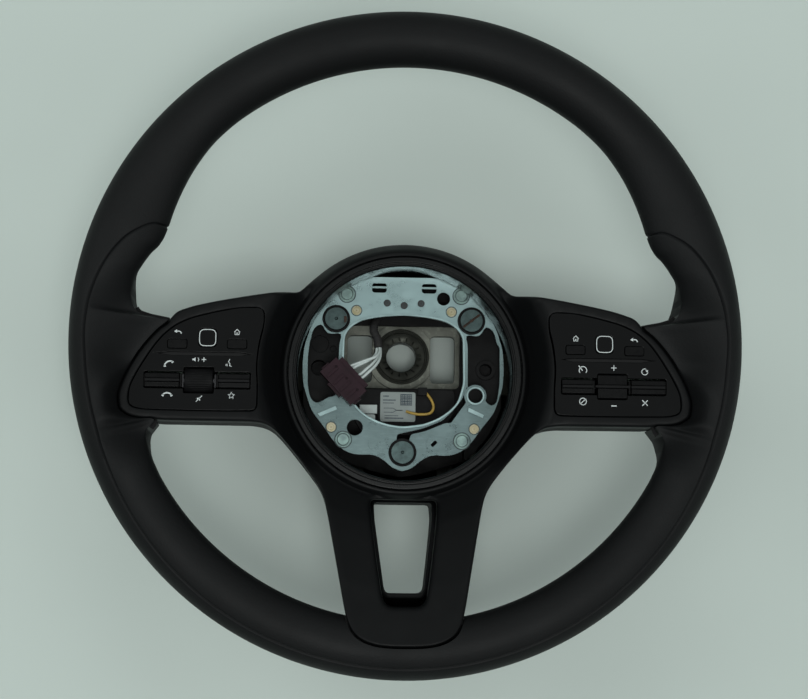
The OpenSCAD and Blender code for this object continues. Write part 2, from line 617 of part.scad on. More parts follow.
module guide_bolts() {
    color([0.62, 0.64, 0.64]) for (p = BOLTS) translate([p[0], p[1], plate_floor]) {
        cylinder(r = 2.5, h = carrier_z - plate_floor);
        translate([0, 0, carrier_z - plate_floor]) cylinder(r = 3.3, h = sheet_z - carrier_z + eps);
        translate([0, 0, sheet_z - plate_floor]) difference() {
            cylinder(r = bolt_head_r, h = 2.2);
            translate([0, 0, 1.7]) cylinder(r1 = 0.4, r2 = 1.1, h = 0.6);
            if (p[0] > 0) translate([0, 0, 1.5]) rotate([0, 0, 38]) translate([-8, -0.7, 0]) cube([16, 1.4, 2]);
            if (p[0] < 0) translate([4.4, -2.4, 1.5]) cube([2, 4, 2]);
        }
    }
}

// Plastic bushes that insulate the plate and ride on the bolts
module guide_bushes() {
    color([0.05, 0.05, 0.05]) for (p = BOLTS) translate([p[0], p[1], 0]) difference() {
        union() {
            translate([0, 0, sheet_back - 2.6]) cylinder(r = bush_r - 0.6, h = sheet_t + 2.6 + 1);
            translate([0, 0, sheet_z]) cylinder(r = bush_r, h = 1.2);
            translate([0, 0, sheet_back - 2.6]) cylinder(r = bush_r + 0.4, h = 2.6);
        }
        translate([0, 0, sheet_back - 3]) cylinder(r = 3.36, h = 20);
        translate([0, 0, sheet_z - air]) cylinder(r = bolt_head_r + 0.2, h = 20);
    }
}

module horn_springs() {
    turns = 3;
    steps = 12;
    low = land_z + 0.55;
    high = sheet_back - 2.6 - 0.75;
    color([0.6, 0.6, 0.6]) for (p = BOLTS) translate([p[0], p[1], 0])
        tube([for (i = [0 : turns * steps]) [5.4 * cos(i * 360 / steps), 5.4 * sin(i * 360 / steps),
            mix(low, high, i / (turns * steps))]], 1, 6);
}

module horn_contacts() {
    color([0.75, 0.6, 0.35]) for (p = STUDS) translate([p[0], p[1], 0]) {
        base = abs(p[0]) > 36 ? land_z : carrier_z + 4;
        translate([0, 0, base]) cylinder(r = 3, h = sheet_back - 1 - horn_travel - 0.2 - base);
    }
}

module contact_studs() {
    color([0.8, 0.68, 0.45]) for (p = STUDS) translate([p[0], p[1], 0]) {
        translate([0, 0, sheet_back - 1]) cylinder(r = 2.8, h = 1);
        translate([0, 0, sheet_back - 0.5]) cylinder(r = 1.45, h = sheet_t + 1);
        translate([0, 0, sheet_z]) cylinder(r = 2.8, h = 0.6);
    }
}

module plate_rivets() {
    color([0.6, 0.68, 0.65]) for (p = CORNERS) translate([p[0], p[1], 0]) {
        translate([0, 0, sheet_back - 1.2]) cylinder(r = 4, h = 1.2);
        translate([0, 0, sheet_back - 0.5]) cylinder(r = 2.55, h = sheet_t + 1);
        translate([0, 0, sheet_z]) cylinder(r = 4.5, h = 0.5);
        translate([0, 0, sheet_z]) cylinder(r = 3.6, h = 0.9);
    }
}

module plate_pins() {
    color([0.15, 0.15, 0.16]) for (p = PINS) translate([p[0], p[1], 0]) {
        translate([0, 0, sheet_back - 1]) cylinder(r = 2, h = 1);
        translate([0, 0, sheet_back - 0.5]) cylinder(r = 1.15, h = sheet_t + 1);
        translate([0, 0, sheet_z]) cylinder(r = 2.05, h = 0.7);
    }
}

module harness_sleeve() {
    color([0.05, 0.05, 0.05]) tube(through(SLEEVE, 3), sleeve_d, 12);
}

module harness_wires() {
    color([0.9, 0.9, 0.88]) for (route = WIRES) tube(through(route, 3), wire_d, 8);
}

module sensor_wire() {
    color([0.8, 0.6, 0.1]) tube(through(SENSOR, 3), 1.3, 8);
}

module wire_clip() {
    color([0.06, 0.06, 0.06]) translate([11.8, -22.8, carrier_z + 9.6]) difference() {
        translate([-2.6, -2, 0]) cube([5.2, 4.6, 4.2]);
        translate([0, 1.3, 2]) rotate([90, 0, 0]) cylinder(r = 0.7, h = 10);
    }
}

module harness_connector() {
    w = connector_size[0];
    d = connector_size[1];
    h = connector_size[2];
    color([0.3, 0.12, 0.2]) translate([connector_at[0], connector_at[1], connector_z]) rotate([0, 0, connector_turn])
        difference() {
            union() {
                translate([-w / 2, -d / 2, 0]) cube([w, d - 3, h]);
                translate([-w / 2 + 2, d / 2 - 3.5, 1]) cube([w - 4, 3.5, h - 2.6]);
                translate([-w / 2 - 1.2, -d / 2 + 2, 1.5]) cube([w + 2.4, 5, h - 4]);
                translate([-5, -d / 2 - 1.6, 1]) cube([10, 3, h - 3]);
                for (x = [-8, -2.6, 2.8, 8.2]) translate([x - 0.8, -d / 2 + 1, h - eps]) cube([1.6, 8, 0.8]);
            }
            for (x = [-9, 0, 9]) translate([x, d / 2 - 6.6, h - 1.4]) cylinder(r = 0.8, h = 4);
            for (k = [0 : 3]) translate([-7.6 + 5.1 * k, d / 2 - 2.4, 4.4]) rotate([-90, 0, 0]) cylinder(r = 0.85, h = 6);
        }
}

// Switch modules
module at_uv(p, z) {
    translate([p[0], p[1], z]) children();
}

module panel(side) {
    color([0.02, 0.02, 0.02]) on_side(side) difference() {
        translate([0, 0, panel_back]) linear_extrude(panel_t) polygon(soften(MODULE, 3, 2));
        for (p = [home_at, back_at]) at_uv(p, 0)
            linear_extrude(far) polygon(pad_pts(key_size[0] + 2 * key_gap, key_size[1] + 2 * key_gap, 1.4));
        at_uv(pad_at, 0) linear_extrude(far) polygon(pad_pts(pad_size[0] + 2 * key_gap, pad_size[1] + 2 * key_gap, 3));
        translate([(slot_u[0] + slot_u[1]) / 2, slot_y, 0])
            linear_extrude(far) polygon(pad_pts(slot_u[1] - slot_u[0], slot_h, 1.6));
        translate([(mid_u[0] + mid_u[1]) / 2, slot_y, 0])
            linear_extrude(far) polygon(pad_pts(mid_u[1] - mid_u[0], mid_h, 1));
        translate([0, 0, panel_z - 0.9]) linear_extrude(2) polygon([[86, -9], [92, -8.2], [130, -8.2], [138, -9], [130, -10.2], [92, -10.2]]);
    }
}

module case(side) {
    rib_w = 7;
    color([0.1, 0.1, 0.1]) on_side(side) difference() {
        union() {
            difference() {
                translate([0, 0, case_z]) linear_extrude(panel_back - case_z) offset(delta = -case_inset) polygon(MODULE);
                translate([0, 0, case_z + floor_t]) linear_extrude(far) offset(delta = -case_inset - 1.6) polygon(MODULE);
            }
            for (u = RIBS) translate([u, slot_y - rib_w / 2, case_z + floor_t - eps])
                cube([rib_t, rib_w, panel_back - case_z - floor_t - 0.4]);
            for (u = [90, 96, 138]) translate([u, u == 90 ? -34 : arm_y, case_z]) cylinder(r = 2.2, h = board_z - case_z);
            for (u = [96, 138]) translate([u, arm_y, 68.2]) cylinder(r = 3.4, h = 4);
        }
        for (u = [96, 138]) translate([u, arm_y, 60]) cylinder(r = 1.25, h = board_z - 60 - 0.4);
        translate([RIBS[0] - 2, slot_y, side_pivot_z]) rotate([0, 90, 0]) cylinder(r = pin_r + 0.05, h = RIBS[3] + rib_t - RIBS[0] + 2 - 0.1);
        translate([RIBS[1] - 1, slot_y, mid_pivot_z]) rotate([0, 90, 0]) cylinder(r = pin_r + 0.05, h = RIBS[2] - RIBS[1] + 3);
        if (side == "left") translate([RIBS[1] + rib_t, slot_y - 4.4, case_z + floor_t]) cube([RIBS[2] - RIBS[1] - rib_t, 8.8, far]);
    }
}

module board(side) {
    color([0.1, 0.35, 0.2]) on_side(side) union() {
        difference() {
            translate([0, 0, board_z]) linear_extrude(board_t) offset(delta = -case_inset - 2.1) polygon(MODULE);
            for (u = RIBS) translate([u - 0.3, slot_y - 3.9, board_z - 1]) cube([rib_t + 0.6, 7.8, 4]);
            translate([RIBS[1] + rib_t, slot_y - 8.6, board_z - 1]) cube([RIBS[2] - RIBS[1] - rib_t, 17.2, 4]);
        }
        for (p = [home_at, back_at, pad_at]) at_uv(p, board_z + board_t - eps)
            translate([-2.2, -1.8, 0]) cube([4.4, 3.6, switch_h]);
    }
}

// A sprung key: its flange stays behind the panel
module key(side, at, size, round_r) {
    low = board_z + board_t + switch_h + key_travel + 0.2;
    color([0.04, 0.04, 0.04]) on_side(side) at_uv(at, 0) {
        translate([0, 0, low]) linear_extrude(panel_z + key_proud - low) polygon(pad_pts(size[0], size[1], round_r));
        translate([0, 0, panel_back - 2.4]) linear_extrude(2.1) polygon(pad_pts(size[0] - 3, size[1] + 2, 1));
    }
}

// A rocker on a pivot across the slot, with a raised bar to feel for
module rocker(side, u0, u1, half, pivot_z, top, pin0, pin1) {
    color([0.05, 0.05, 0.05]) on_side(side) {
        translate([u0, slot_y, 0]) rotate([90, 0, 90]) linear_extrude(u1 - u0) polygon([
            [-half + 1, pivot_z - 2.4], [half - 1, pivot_z - 2.4], [half, pivot_z], [half, top - 1.6],
            [half - 0.6, top - 1], [1.2, top - 1], [0.7, top], [-0.7, top], [-1.2, top - 1], [-half + 0.6, top - 1],
            [-half, top - 1.6], [-half, pivot_z]]);
        translate([pin0, slot_y, pivot_z]) rotate([0, 90, 0]) cylinder(r = pin_r, h = pin1 - pin0);
    }
}

module inner_rocker(side) {
    rocker(side, RIBS[0] + rib_t + 0.3, RIBS[1] - 0.3, slot_h / 2 - 0.65, side_pivot_z, panel_z + 0.2,
        RIBS[0] + 0.1, RIBS[1] + 0.6);
}

module outer_rocker(side) {
    rocker(side, RIBS[2] + rib_t + 0.3, RIBS[3] - 0.3, slot_h / 2 - 0.65, side_pivot_z, panel_z + 0.2,
        RIBS[2] + 0.4, RIBS[3] + 0.7);
}

module left_panel() { panel("left"); }
module right_panel() { panel("right"); }
module left_case() { case("left"); }
module right_case() { case("right"); }
module left_board() { board("left"); }
module right_board() { board("right"); }
module left_pad() { key("left", pad_at, pad_size, 3); }
module right_pad() { key("right", pad_at, pad_size, 3); }
module left_home_key() { key("left", home_at, key_size, 1.2); }
module right_home_key() { key("right", home_at, key_size, 1.2); }
module left_back_key() { key("left", back_at, key_size, 1.2); }
module right_back_key() { key("right", back_at, key_size, 1.2); }
module voice_rocker() { inner_rocker("left"); }
module call_rocker() { outer_rocker("left"); }
module limit_rocker() { inner_rocker("right"); }
module resume_rocker() { outer_rocker("right"); }

module speed_rocker() {
    rocker("right", mid_u[0] + 0.3, mid_u[1] - 0.3, mid_h / 2 - 0.6, mid_pivot_z, panel_z + 1.4,
        RIBS[1] + 0.1, RIBS[2] + 0.9);
}

// Volume roller, in a yoke that presses down to mute
roller_z = panel_z + 3.2 - roller_r;
module roller_yoke() {
    arm_t = 0.7;
    u0 = RIBS[1] + rib_t + 0.3;
    u1 = RIBS[2] - 0.3;
    color([0.08, 0.08, 0.08]) on_side("left") union() {
        for (u = [u0, u1 - arm_t]) translate([u, slot_y - 3.6, case_z + floor_t + 1])
            cube([arm_t, 7.2, panel_back - 0.6 - case_z - floor_t - 1]);
        translate([u0, slot_y - 3.6, case_z + floor_t + 1]) cube([u1 - u0, 7.2, 1.4]);
        translate([u0 + arm_t - eps, slot_y, roller_z]) rotate([0, 90, 0]) cylinder(r = axle_r, h = u1 - u0 - 2 * arm_t + 2 * eps);
    }
}

module volume_roller() {
    ridge = 0.5;
    half = 7.7;
    color([0.06, 0.06, 0.06]) on_side("left") translate([(mid_u[0] + mid_u[1]) / 2, slot_y, roller_z]) rotate([0, 90, 0]) {
        difference() {
            union() {
                cylinder(r = roller_r - ridge, h = 2 * half, center = true);
                for (x = [-half + 2 : 2.28 : half - 2]) translate([0, 0, x]) cylinder(r = roller_r, h = 1.3, center = true);
            }
            cylinder(r = axle_r + 0.06, h = 3 * half, center = true);
        }
    }
}

module module_screws() {
    color([0.4, 0.4, 0.4]) on_both_sides() for (u = [96, 138]) translate([u, arm_y, 0]) {
        translate([0, 0, 59]) cylinder(r = 3, h = 1.8);
        translate([0, 0, 59.5]) cylinder(r = 1.2, h = 13.6);
    }
}

armature();
hub_casting();
rim_core();
shaft_boss();
rim_grip();
front_trim();
hub_liner();
rear_cover();
wing_covers();
spoke_cover();
rear_screws();
carrier();
control_unit();
unit_label();
unit_latch();
guide_bolts();
horn_springs();
horn_contacts();
airbag_plate();
guide_bushes();
plate_rivets();
contact_studs();
plate_pins();
harness_sleeve();
harness_wires();
harness_connector();
sensor_wire();
wire_clip();
left_panel();
left_case();
left_board();
left_pad();
left_home_key();
left_back_key();
call_rocker();
voice_rocker();
roller_yoke();
volume_roller();
right_panel();
right_case();
right_board();
right_pad();
right_home_key();
right_back_key();
limit_rocker();
resume_rocker();
speed_rocker();
module_screws();
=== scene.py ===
"""Car steering wheel without its airbag: rim, trim, switches, sprung plate and hub."""

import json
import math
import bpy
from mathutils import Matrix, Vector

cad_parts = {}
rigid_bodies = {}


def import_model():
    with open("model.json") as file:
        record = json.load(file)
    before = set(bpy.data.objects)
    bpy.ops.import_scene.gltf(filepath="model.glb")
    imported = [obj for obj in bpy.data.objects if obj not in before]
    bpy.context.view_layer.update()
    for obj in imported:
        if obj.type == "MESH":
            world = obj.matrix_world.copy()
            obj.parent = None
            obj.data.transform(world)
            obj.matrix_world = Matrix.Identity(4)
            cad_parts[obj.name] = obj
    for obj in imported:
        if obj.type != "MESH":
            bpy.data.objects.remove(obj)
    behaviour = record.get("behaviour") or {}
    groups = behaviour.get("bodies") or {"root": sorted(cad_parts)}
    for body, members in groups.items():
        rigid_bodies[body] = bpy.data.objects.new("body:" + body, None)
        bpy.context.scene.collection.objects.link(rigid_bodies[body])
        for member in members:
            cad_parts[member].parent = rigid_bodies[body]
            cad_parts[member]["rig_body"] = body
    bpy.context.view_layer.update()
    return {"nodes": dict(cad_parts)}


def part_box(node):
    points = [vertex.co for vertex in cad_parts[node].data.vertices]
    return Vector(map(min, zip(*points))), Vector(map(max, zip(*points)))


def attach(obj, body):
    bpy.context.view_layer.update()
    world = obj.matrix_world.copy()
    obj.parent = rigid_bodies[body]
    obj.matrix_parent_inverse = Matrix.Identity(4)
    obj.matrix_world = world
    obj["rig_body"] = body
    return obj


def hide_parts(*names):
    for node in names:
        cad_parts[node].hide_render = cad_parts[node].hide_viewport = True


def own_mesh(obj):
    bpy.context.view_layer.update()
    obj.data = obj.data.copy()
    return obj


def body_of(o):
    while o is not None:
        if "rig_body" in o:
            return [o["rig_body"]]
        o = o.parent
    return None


bl_info = {
    "name": "Car Steering Wheel",
    "version": (1, 0, 0),
    "blender": (4, 5, 0),
    "location": "View3D > Sidebar > Wheel",
    "description": "Dresses the parts of a car steering wheel whose airbag is taken out",
    "category": "Object",
}

import bmesh
import bpy
import numpy as np
from bpy.props import FloatProperty, FloatVectorProperty, PointerProperty
from mathutils import Matrix, Vector
from mathutils.geometry import delaunay_2d_cdt
from mathutils.kdtree import KDTree

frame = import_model()

# Sizes in this file are millimetres, as on the part's drawing. MM turns them into metres.
MM = 0.001
RIM_R = 169.25
RIM_IN = 153.5
RIM_Z = 95.0
GRIP_R = 15.75
GRIP_H = 15
GRIP_SHARE = 0.985
THUMB_REACH = 8.6
ROOT_TOP = 92
ROOT_BACK = 54.8
HUB = (0.0, -15.5)
HUB_OPENING = 66.5
PANEL_Z = 89.3
SHEET_Z = 45.5
LABEL_Z = 29.9
SLOT_Y = -23.8
ROLLER = (-114.0, -23.8, 85.6)
WIRE_D = 1.6
LIP_WIDTH = 1.6
INK = 0.03
SEAM = 0.4
SEAM_END = 24.3
SEAM_WIDTH = 0.55
DEGREES_PER_MM = 3.64
REST_Z = -12.0


# ---- curves and profiles


def ease(t):
    t = min(1.0, max(0.0, t))
    return t * t * (3 - 2 * t)


def mix(a, b, t):
    return a + (b - a) * t


def polar(r, degrees, x=0.0, y=0.0):
    """The place at a radius and an angle from a middle."""
    t = math.radians(degrees)
    return x + r * math.cos(t), y + r * math.sin(t)


def lookup(x, table):
    """Value on a line of straight pieces."""
    if x <= table[0][0]:
        return table[0][1]
    for (x0, y0), (x1, y1) in zip(table, table[1:]):
        if x <= x1:
            return mix(y0, y1, (x - x0) / (x1 - x0))
    return table[-1][1]


def rounded(x, table, width):
    """Height on a profile whose corners are rounded over a width."""
    return sum(lookup(x + width * k / 3, table) for k in (-3, -2, -1, 0, 1, 2, 3)) / 7


class Flow:
    """A smooth line through points that never swings past them."""

    def __init__(self, table):
        self.x = [p[0] for p in table]
        self.y = [p[1] for p in table]
        step = [b - a for a, b in zip(self.x, self.x[1:])]
        rise = [(b - a) / h for a, b, h in zip(self.y, self.y[1:], step)]
        slope = [rise[0]]
        for i in range(1, len(rise)):
            a, b = rise[i - 1], rise[i]
            if a * b <= 0:
                slope.append(0.0)
            else:
                w1, w2 = 2 * step[i] + step[i - 1], step[i] + 2 * step[i - 1]
                slope.append((w1 + w2) / (w1 / a + w2 / b))
        self.slope = slope + [rise[-1]]

    def __call__(self, x):
        if x <= self.x[0]:
            return self.y[0]
        if x >= self.x[-1]:
            return self.y[-1]
        i = max(k for k, v in enumerate(self.x) if v <= x)
        i = min(i, len(self.x) - 2)
        h = self.x[i + 1] - self.x[i]
        t = (x - self.x[i]) / h
        return (
            (1 + 2 * t) * (1 - t) ** 2 * self.y[i]
            + t * (1 - t) ** 2 * h * self.slope[i]
            + t * t * (3 - 2 * t) * self.y[i + 1]
            + t * t * (t - 1) * h * self.slope[i + 1]
        )


ROOT = Flow(
    [(-30, 0), (-22, 1.2), (-20.3, 2.5), (-19.3, 5.5), (-18.4, 8.3), (-17.2, 0.5), (-16, -5), (-14, -8.8),
     (-12, -8.3), (-9, -4.5), (-5.5, 1.8), (-1.6, 9.2), (1.8, 16.5), (4, 21.7), (4.3, 14.4), (4.6, 8.6),
     (5.1, 5), (5.8, 3), (7, 1), (9, 0), (12, 0)]
)
THUMB = Flow(
    [(9, 0), (12, 0.05), (14.5, 0.26), (18, 0.62), (20, 0.9), (22.3, 1), (24.2, 0.97), (28.5, 0.78),
     (32.6, 0.58), (40, 0.25), (46, 0.06), (52, 0)]
)
# Radius at which the leather's seam runs on the front of the rim, by angle above three o'clock
SEAM_LINE = Flow(
    [(-90, 178.3), (-66, 178.2), (-20, 175.1), (-17.7, 174.7), (-11.2, 174.8), (-4.9, 174.6), (0, 175),
     (4.6, 174.3), (8.8, 172.5), (12.6, 169.6), (16.5, 165.3), (18.9, 161.8), (21.3, 156.7), (23.3, 151.4),
     (24.3, 145.2)]
)


def side_angle(a):
    """Angle above three o'clock of the same height on the right half."""
    b = a % 360
    return b - 360 if b > 270 else 180 - b if b > 90 else b


def reach(a):
    """How far the leather comes in from the rim at a spoke root or a thumb rest."""
    s = side_angle(a)
    if s < 9:
        return ROOT(s) if s > -30 else 0.0
    return THUMB_REACH * THUMB(s)


def grip_in(a):
    return RIM_IN - reach(a)


def root_share(a):
    """How much of the spoke root's form the grip has: 0 away from it, 1 at it."""
    s = side_angle(a)
    return ease((s + 27) / 8) * ease((14 - s) / 8)


def grip_point(a, f):
    """A point of the grip's skin at angle a round the wheel and angle f round its section."""
    c, s = polar(1, f)
    inner = grip_in(a)
    r = RIM_R + (RIM_R - inner) * c if c < 0 else RIM_R + GRIP_R * GRIP_SHARE * c
    z = RIM_Z + GRIP_H * GRIP_SHARE * s
    crest = RIM_R + 7
    w = root_share(a) if r < crest else 0.0
    if w > 0:
        back = (crest - r) / (crest - inner)
        t = mix(ease(back), back**4, ease((inner - 148) / 12))
        low = mix(RIM_Z + 13.4, ROOT_TOP, t) if s > 0 else mix(RIM_Z - 13.4, ROOT_BACK, t)
        z = mix(z, low, w)
    return Vector((*polar(r, a), z))


# Heights of the trim by distance from the hub's middle: at the wings, the lower spoke and above the hub
WING = [(66, 69), (68.3, 69), (70.5, 65.5), (79, 83.5), (84, 87.6), (92, 89), (120, 89.8), (150, 90.6),
        (175, 92)]
LEG = [(66, 69), (68.3, 69), (70.5, 65.5), (78, 71.5), (86.5, 78), (95, 83), (120, 96), (140, 104.6),
       (153, 108.6), (175, 110)]
CROWN = [(66, 69), (68.3, 69), (70.5, 67), (74.7, 60), (80, 52), (100, 52)]


def front_height(x, y):
    """Height of the trim's face at a place on the plan.

    The lower spoke's profile fades into that of the wings from 38 to 58 degrees off six o'clock,
    and the one above the hub takes over from 118 degrees on.
    """
    r = math.hypot(x - HUB[0], y - HUB[1])
    h = math.degrees(math.atan2(y - HUB[1], x - HUB[0]))
    down = abs((h + 90 + 540) % 360 - 180)
    leg = 1 - ease((down - 38) / 20)
    crown = ease((down - 118) / 22)
    width = 0.5 if r < 74 else 1.3
    z = mix(rounded(r, WING, width), rounded(r, LEG, width), leg)
    return mix(z, rounded(r, CROWN, width), crown)


# ---- outlines on the plan


def soften(points, size=99.0, steps=5):
    """A closed outline with each corner rounded. A point may carry its own size."""
    out = []
    n = len(points)
    for i, p in enumerate(points):
        here = Vector(p[:2])
        before = Vector(points[i - 1][:2])
        after = Vector(points[(i + 1) % n][:2])
        own = p[2] if len(p) > 2 else size
        if own <= 0:
            out.append(here)
            continue
        da = min(own, (before - here).length * 0.48)
        db = min(own, (after - here).length * 0.48)
        pa = here + (before - here).normalized() * da
        pb = here + (after - here).normalized() * db
        for k in range(steps + 1):
            t = k / steps
            out.append((1 - t) ** 2 * pa + 2 * t * (1 - t) * here + t * t * pb)
    return out


def even(points, step):
    """The same closed outline with points a step apart at most."""
    out = []
    n = len(points)
    for i in range(n):
        a, b = points[i], points[(i + 1) % n]
        length = (b - a).length
        if length < 0.02:
            continue
        parts = max(1, math.ceil(length / step))
        out.extend(a + (b - a) * (k / parts) for k in range(parts))
    thin = [out[0]]
    for p in out[1:]:
        if (p - thin[-1]).length > step * 0.3:
            thin.append(p)
    if (thin[-1] - thin[0]).length < step * 0.3:
        thin.pop()
    return thin


def mirrored(half):
    return list(half) + [(-p[0], *p[1:]) for p in reversed(half)]


def area(points):
    return 0.5 * sum(a[0] * b[1] - b[0] * a[1] for a, b in zip(points, points[1:] + points[:1]))


def normals(points):
    """Directions that point into the material from a loop that runs anticlockwise round it."""
    out = []
    n = len(points)
    for i in range(n):
        t = (points[(i + 1) % n] - points[i - 1]).normalized()
        out.append(Vector((-t.y, t.x)))
    return out


def circle_outline(x, y, r, n=48):
    turns = [2 * math.pi * k / n for k in range(n)]
    return [Vector((x + r * math.cos(t), y + r * math.sin(t))) for t in turns]


def block_outline(x, y, w, h, r):
    return soften([(x + i * w / 2, y + j * h / 2) for i, j in ((1, 1), (-1, 1), (-1, -1), (1, -1))], r)


def wing_edge():
    """Outer edge of the right wing, a seam's width off the leather."""
    edge = []
    a = 4.0
    while a > -18.35:
        r = grip_in(a) - SEAM
        edge.append((*polar(r, a), 0))
        a -= 0.5
    return edge


def cover_outline():
    """Outline of hub, wings and lower spoke from the front."""
    half = [(*polar(74.7, 90 - k, *HUB), 0) for k in range(0, 52, 3)]
    half += [
        (60.6, 29, 9), (67, 27.4), (79, 25.3), (92, 23), (105.7, 20.4), (118, 17.5), (127, 14.2, 3),
        *wing_edge(), (135, -46, 3), (80, -46, 9), (73, -48.8), (64.4, -58), (56.3, -68), (48.3, -78.5),
        (44.7, -85.4), (42.6, -94), (39.7, -109), (36.2, -127), (32.9, -145), (31, -153, 5), (27.8, -160, 6),
        (21, -164.5, 8), (11, -166.8, 12),
    ]
    return mirrored(half)


MODULE = [(79.3, 16.8, 5), (92.5, 16.6), (105.4, 14), (118.8, 10.5), (127.4, 6.4), (134.5, 0.3), (140, -7),
          (146.6, -17.7), (151.7, -27.8), (152.2, -37.9, 6), (145.8, -39.9, 6), (121, -40.2), (97, -40.2),
          (82.3, -39.8, 4), (82.2, -25.5), (83, -14.5), (81.8, -2.8), (79, 8.8)]
SLOT = [(18.6, -86.7, 3), (18.2, -98), (12.4, -140), (10.5, -143.8, 3), (7.5, -145.4, 3)]


# ---- mesh tools


def link(name, mesh):
    piece = bpy.data.objects.new(name, mesh)
    bpy.context.scene.collection.objects.link(piece)
    return piece


def shade(mesh, degrees=38):
    mesh.shade_smooth()
    mesh.set_sharp_from_angle(angle=math.radians(degrees))


def weave(rows, sides, joined=False, ring=True):
    """Faces between rows of points. Joined rows end at the first one, and a ring closes each row."""
    faces = []
    for i in range(rows if joined else rows - 1):
        here, there = i * sides, (i + 1) % rows * sides
        for k in range(sides if ring else sides - 1):
            j = (k + 1) % sides
            faces.append([here + k, here + j, there + j, there + k])
    return faces


def mesh_of(name, points, faces):
    """A mesh from points in millimetres."""
    mesh = bpy.data.meshes.new(name)
    mesh.from_pydata([tuple(Vector(p) * MM) for p in points], [], faces)
    mesh.validate()
    mesh.update()
    return mesh


def make_piece(name, points, faces, finish, body="wheel", angle=38):
    """A new piece from points and faces."""
    mesh = mesh_of(name, points, faces)
    shade(mesh, angle)
    mesh.materials.append(FINISHES[finish])
    piece = link(name, mesh)
    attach(piece, body)
    return piece


def settle(piece):
    """Turn the piece's modifiers into plain mesh."""
    graph = bpy.context.evaluated_depsgraph_get()
    mesh = bpy.data.meshes.new_from_object(piece.evaluated_get(graph))
    piece.modifiers.clear()
    piece.data = mesh


def inside(points, loop):
    """Which of an array's points lie inside a closed loop."""
    x, y = points[:, 0], points[:, 1]
    hit = np.zeros(len(points), bool)
    n = len(loop)
    for i in range(n):
        x0, y0 = loop[i - 1][0], loop[i - 1][1]
        x1, y1 = loop[i][0], loop[i][1]
        if y0 == y1:
            continue
        crosses = (y0 > y) != (y1 > y)
        hit ^= crosses & (x < (x1 - x0) * (y - y0) / (y1 - y0) + x0)
    return hit


def near_any(points, loops, gap):
    """Which of an array's points lie closer than a gap to the loops' own points."""
    tree = KDTree(sum(len(loop) for loop in loops))
    k = 0
    for loop in loops:
        for p in loop:
            tree.insert((p[0], p[1], 0), k)
            k += 1
    tree.balance()
    return np.array([tree.find((p[0], p[1], 0))[2] < gap for p in points])


def lifted(loops, height, fill, depth):
    """Points and faces of a moulded skin.

    loops is a list of (outline, edge radius), the outer one first. height(x, y) is the face's
    height, fill the plan points between the edges, depth(y) how far the side walls go down.
    """
    rows = 4
    flat, drops, edges, chains = [], [], [], []
    kept = []
    for index, (outline, radius) in enumerate(loops):
        loop = list(outline)
        if (area(loop) > 0) != (index == 0):
            loop.reverse()
        inward = normals(loop)
        chain = []
        for row in range(rows + 1):
            angle = math.pi / 2 * row / rows
            move, drop = radius * (1 - math.cos(angle)), radius * (1 - math.sin(angle))
            start = len(flat)
            for p, n in zip(loop, inward):
                flat.append(p + n * move)
                drops.append(drop)
            ring = list(range(start, len(flat)))
            chain.append(ring)
            if row == rows:
                edges += [(ring[k - 1], ring[k]) for k in range(len(ring))]
                kept.append([flat[k] for k in ring])
        chains.append((loop, chain))
    pts = np.array([[p[0], p[1]] for p in fill], float)
    ok = inside(pts, kept[0])
    for loop in kept[1:]:
        ok &= ~inside(pts, loop)
    pts = pts[ok]
    pts = pts[~near_any(pts, kept, 0.75)]
    ring_ids = sorted({k for e in edges for k in e})
    place = {k: n for n, k in enumerate(ring_ids)}
    coords = [Vector((flat[k].x, flat[k].y)) for k in ring_ids] + [Vector((p[0], p[1])) for p in pts]
    cdt = delaunay_2d_cdt(coords, [(place[a], place[b]) for a, b in edges], [], 0, 1e-5)
    out_xy, tris, origins = cdt[0], cdt[2], cdt[3]
    centres = np.array([[sum(out_xy[k][i] for k in t) / 3 for i in (0, 1)] for t in tris])
    good = inside(centres, kept[0])
    for loop in kept[1:]:
        good &= ~inside(centres, loop)
    points = [Vector((p.x, p.y, height(p.x, p.y) - d)) for p, d in zip(flat, drops)]
    index_of = []
    for k, xy in enumerate(out_xy):
        src = [o for o in origins[k] if o < len(ring_ids)]
        if src:
            index_of.append(ring_ids[src[0]])
        else:
            index_of.append(len(points))
            points.append(Vector((xy[0], xy[1], height(xy[0], xy[1]))))
    faces = [[index_of[k] for k in t] for t, keep in zip(tris, good) if keep]
    for loop, chain in chains:
        n = len(loop)
        for lower, upper in zip(chain, chain[1:]):
            for k in range(n):
                j = (k + 1) % n
                faces.append([lower[k], lower[j], upper[j], upper[k]])
        inward = normals(loop)
        base = len(points)
        for p in loop:
            points.append(Vector((p.x, p.y, height(p.x, p.y) - depth(p.y))))
        lip = len(points)
        for p, m in zip(loop, inward):
            q = p + m * LIP_WIDTH
            points.append(Vector((q.x, q.y, height(p.x, p.y) - depth(p.y))))
        for k in range(n):
            j = (k + 1) % n
            faces.append([base + k, base + j, chain[0][j], chain[0][k]])
            faces.append([lip + k, lip + j, base + j, base + k])
    return points, faces


def grid(x0, x1, y0, y1, step):
    """Places in staggered rows, a step apart."""
    out = []
    rows = int((y1 - y0) / (step * 0.87)) + 1
    for j in range(rows):
        y = y0 + j * step * 0.87
        x = x0 + (step / 2 if j % 2 else 0)
        while x <= x1:
            out.append((x, y))
            x += step
    return out


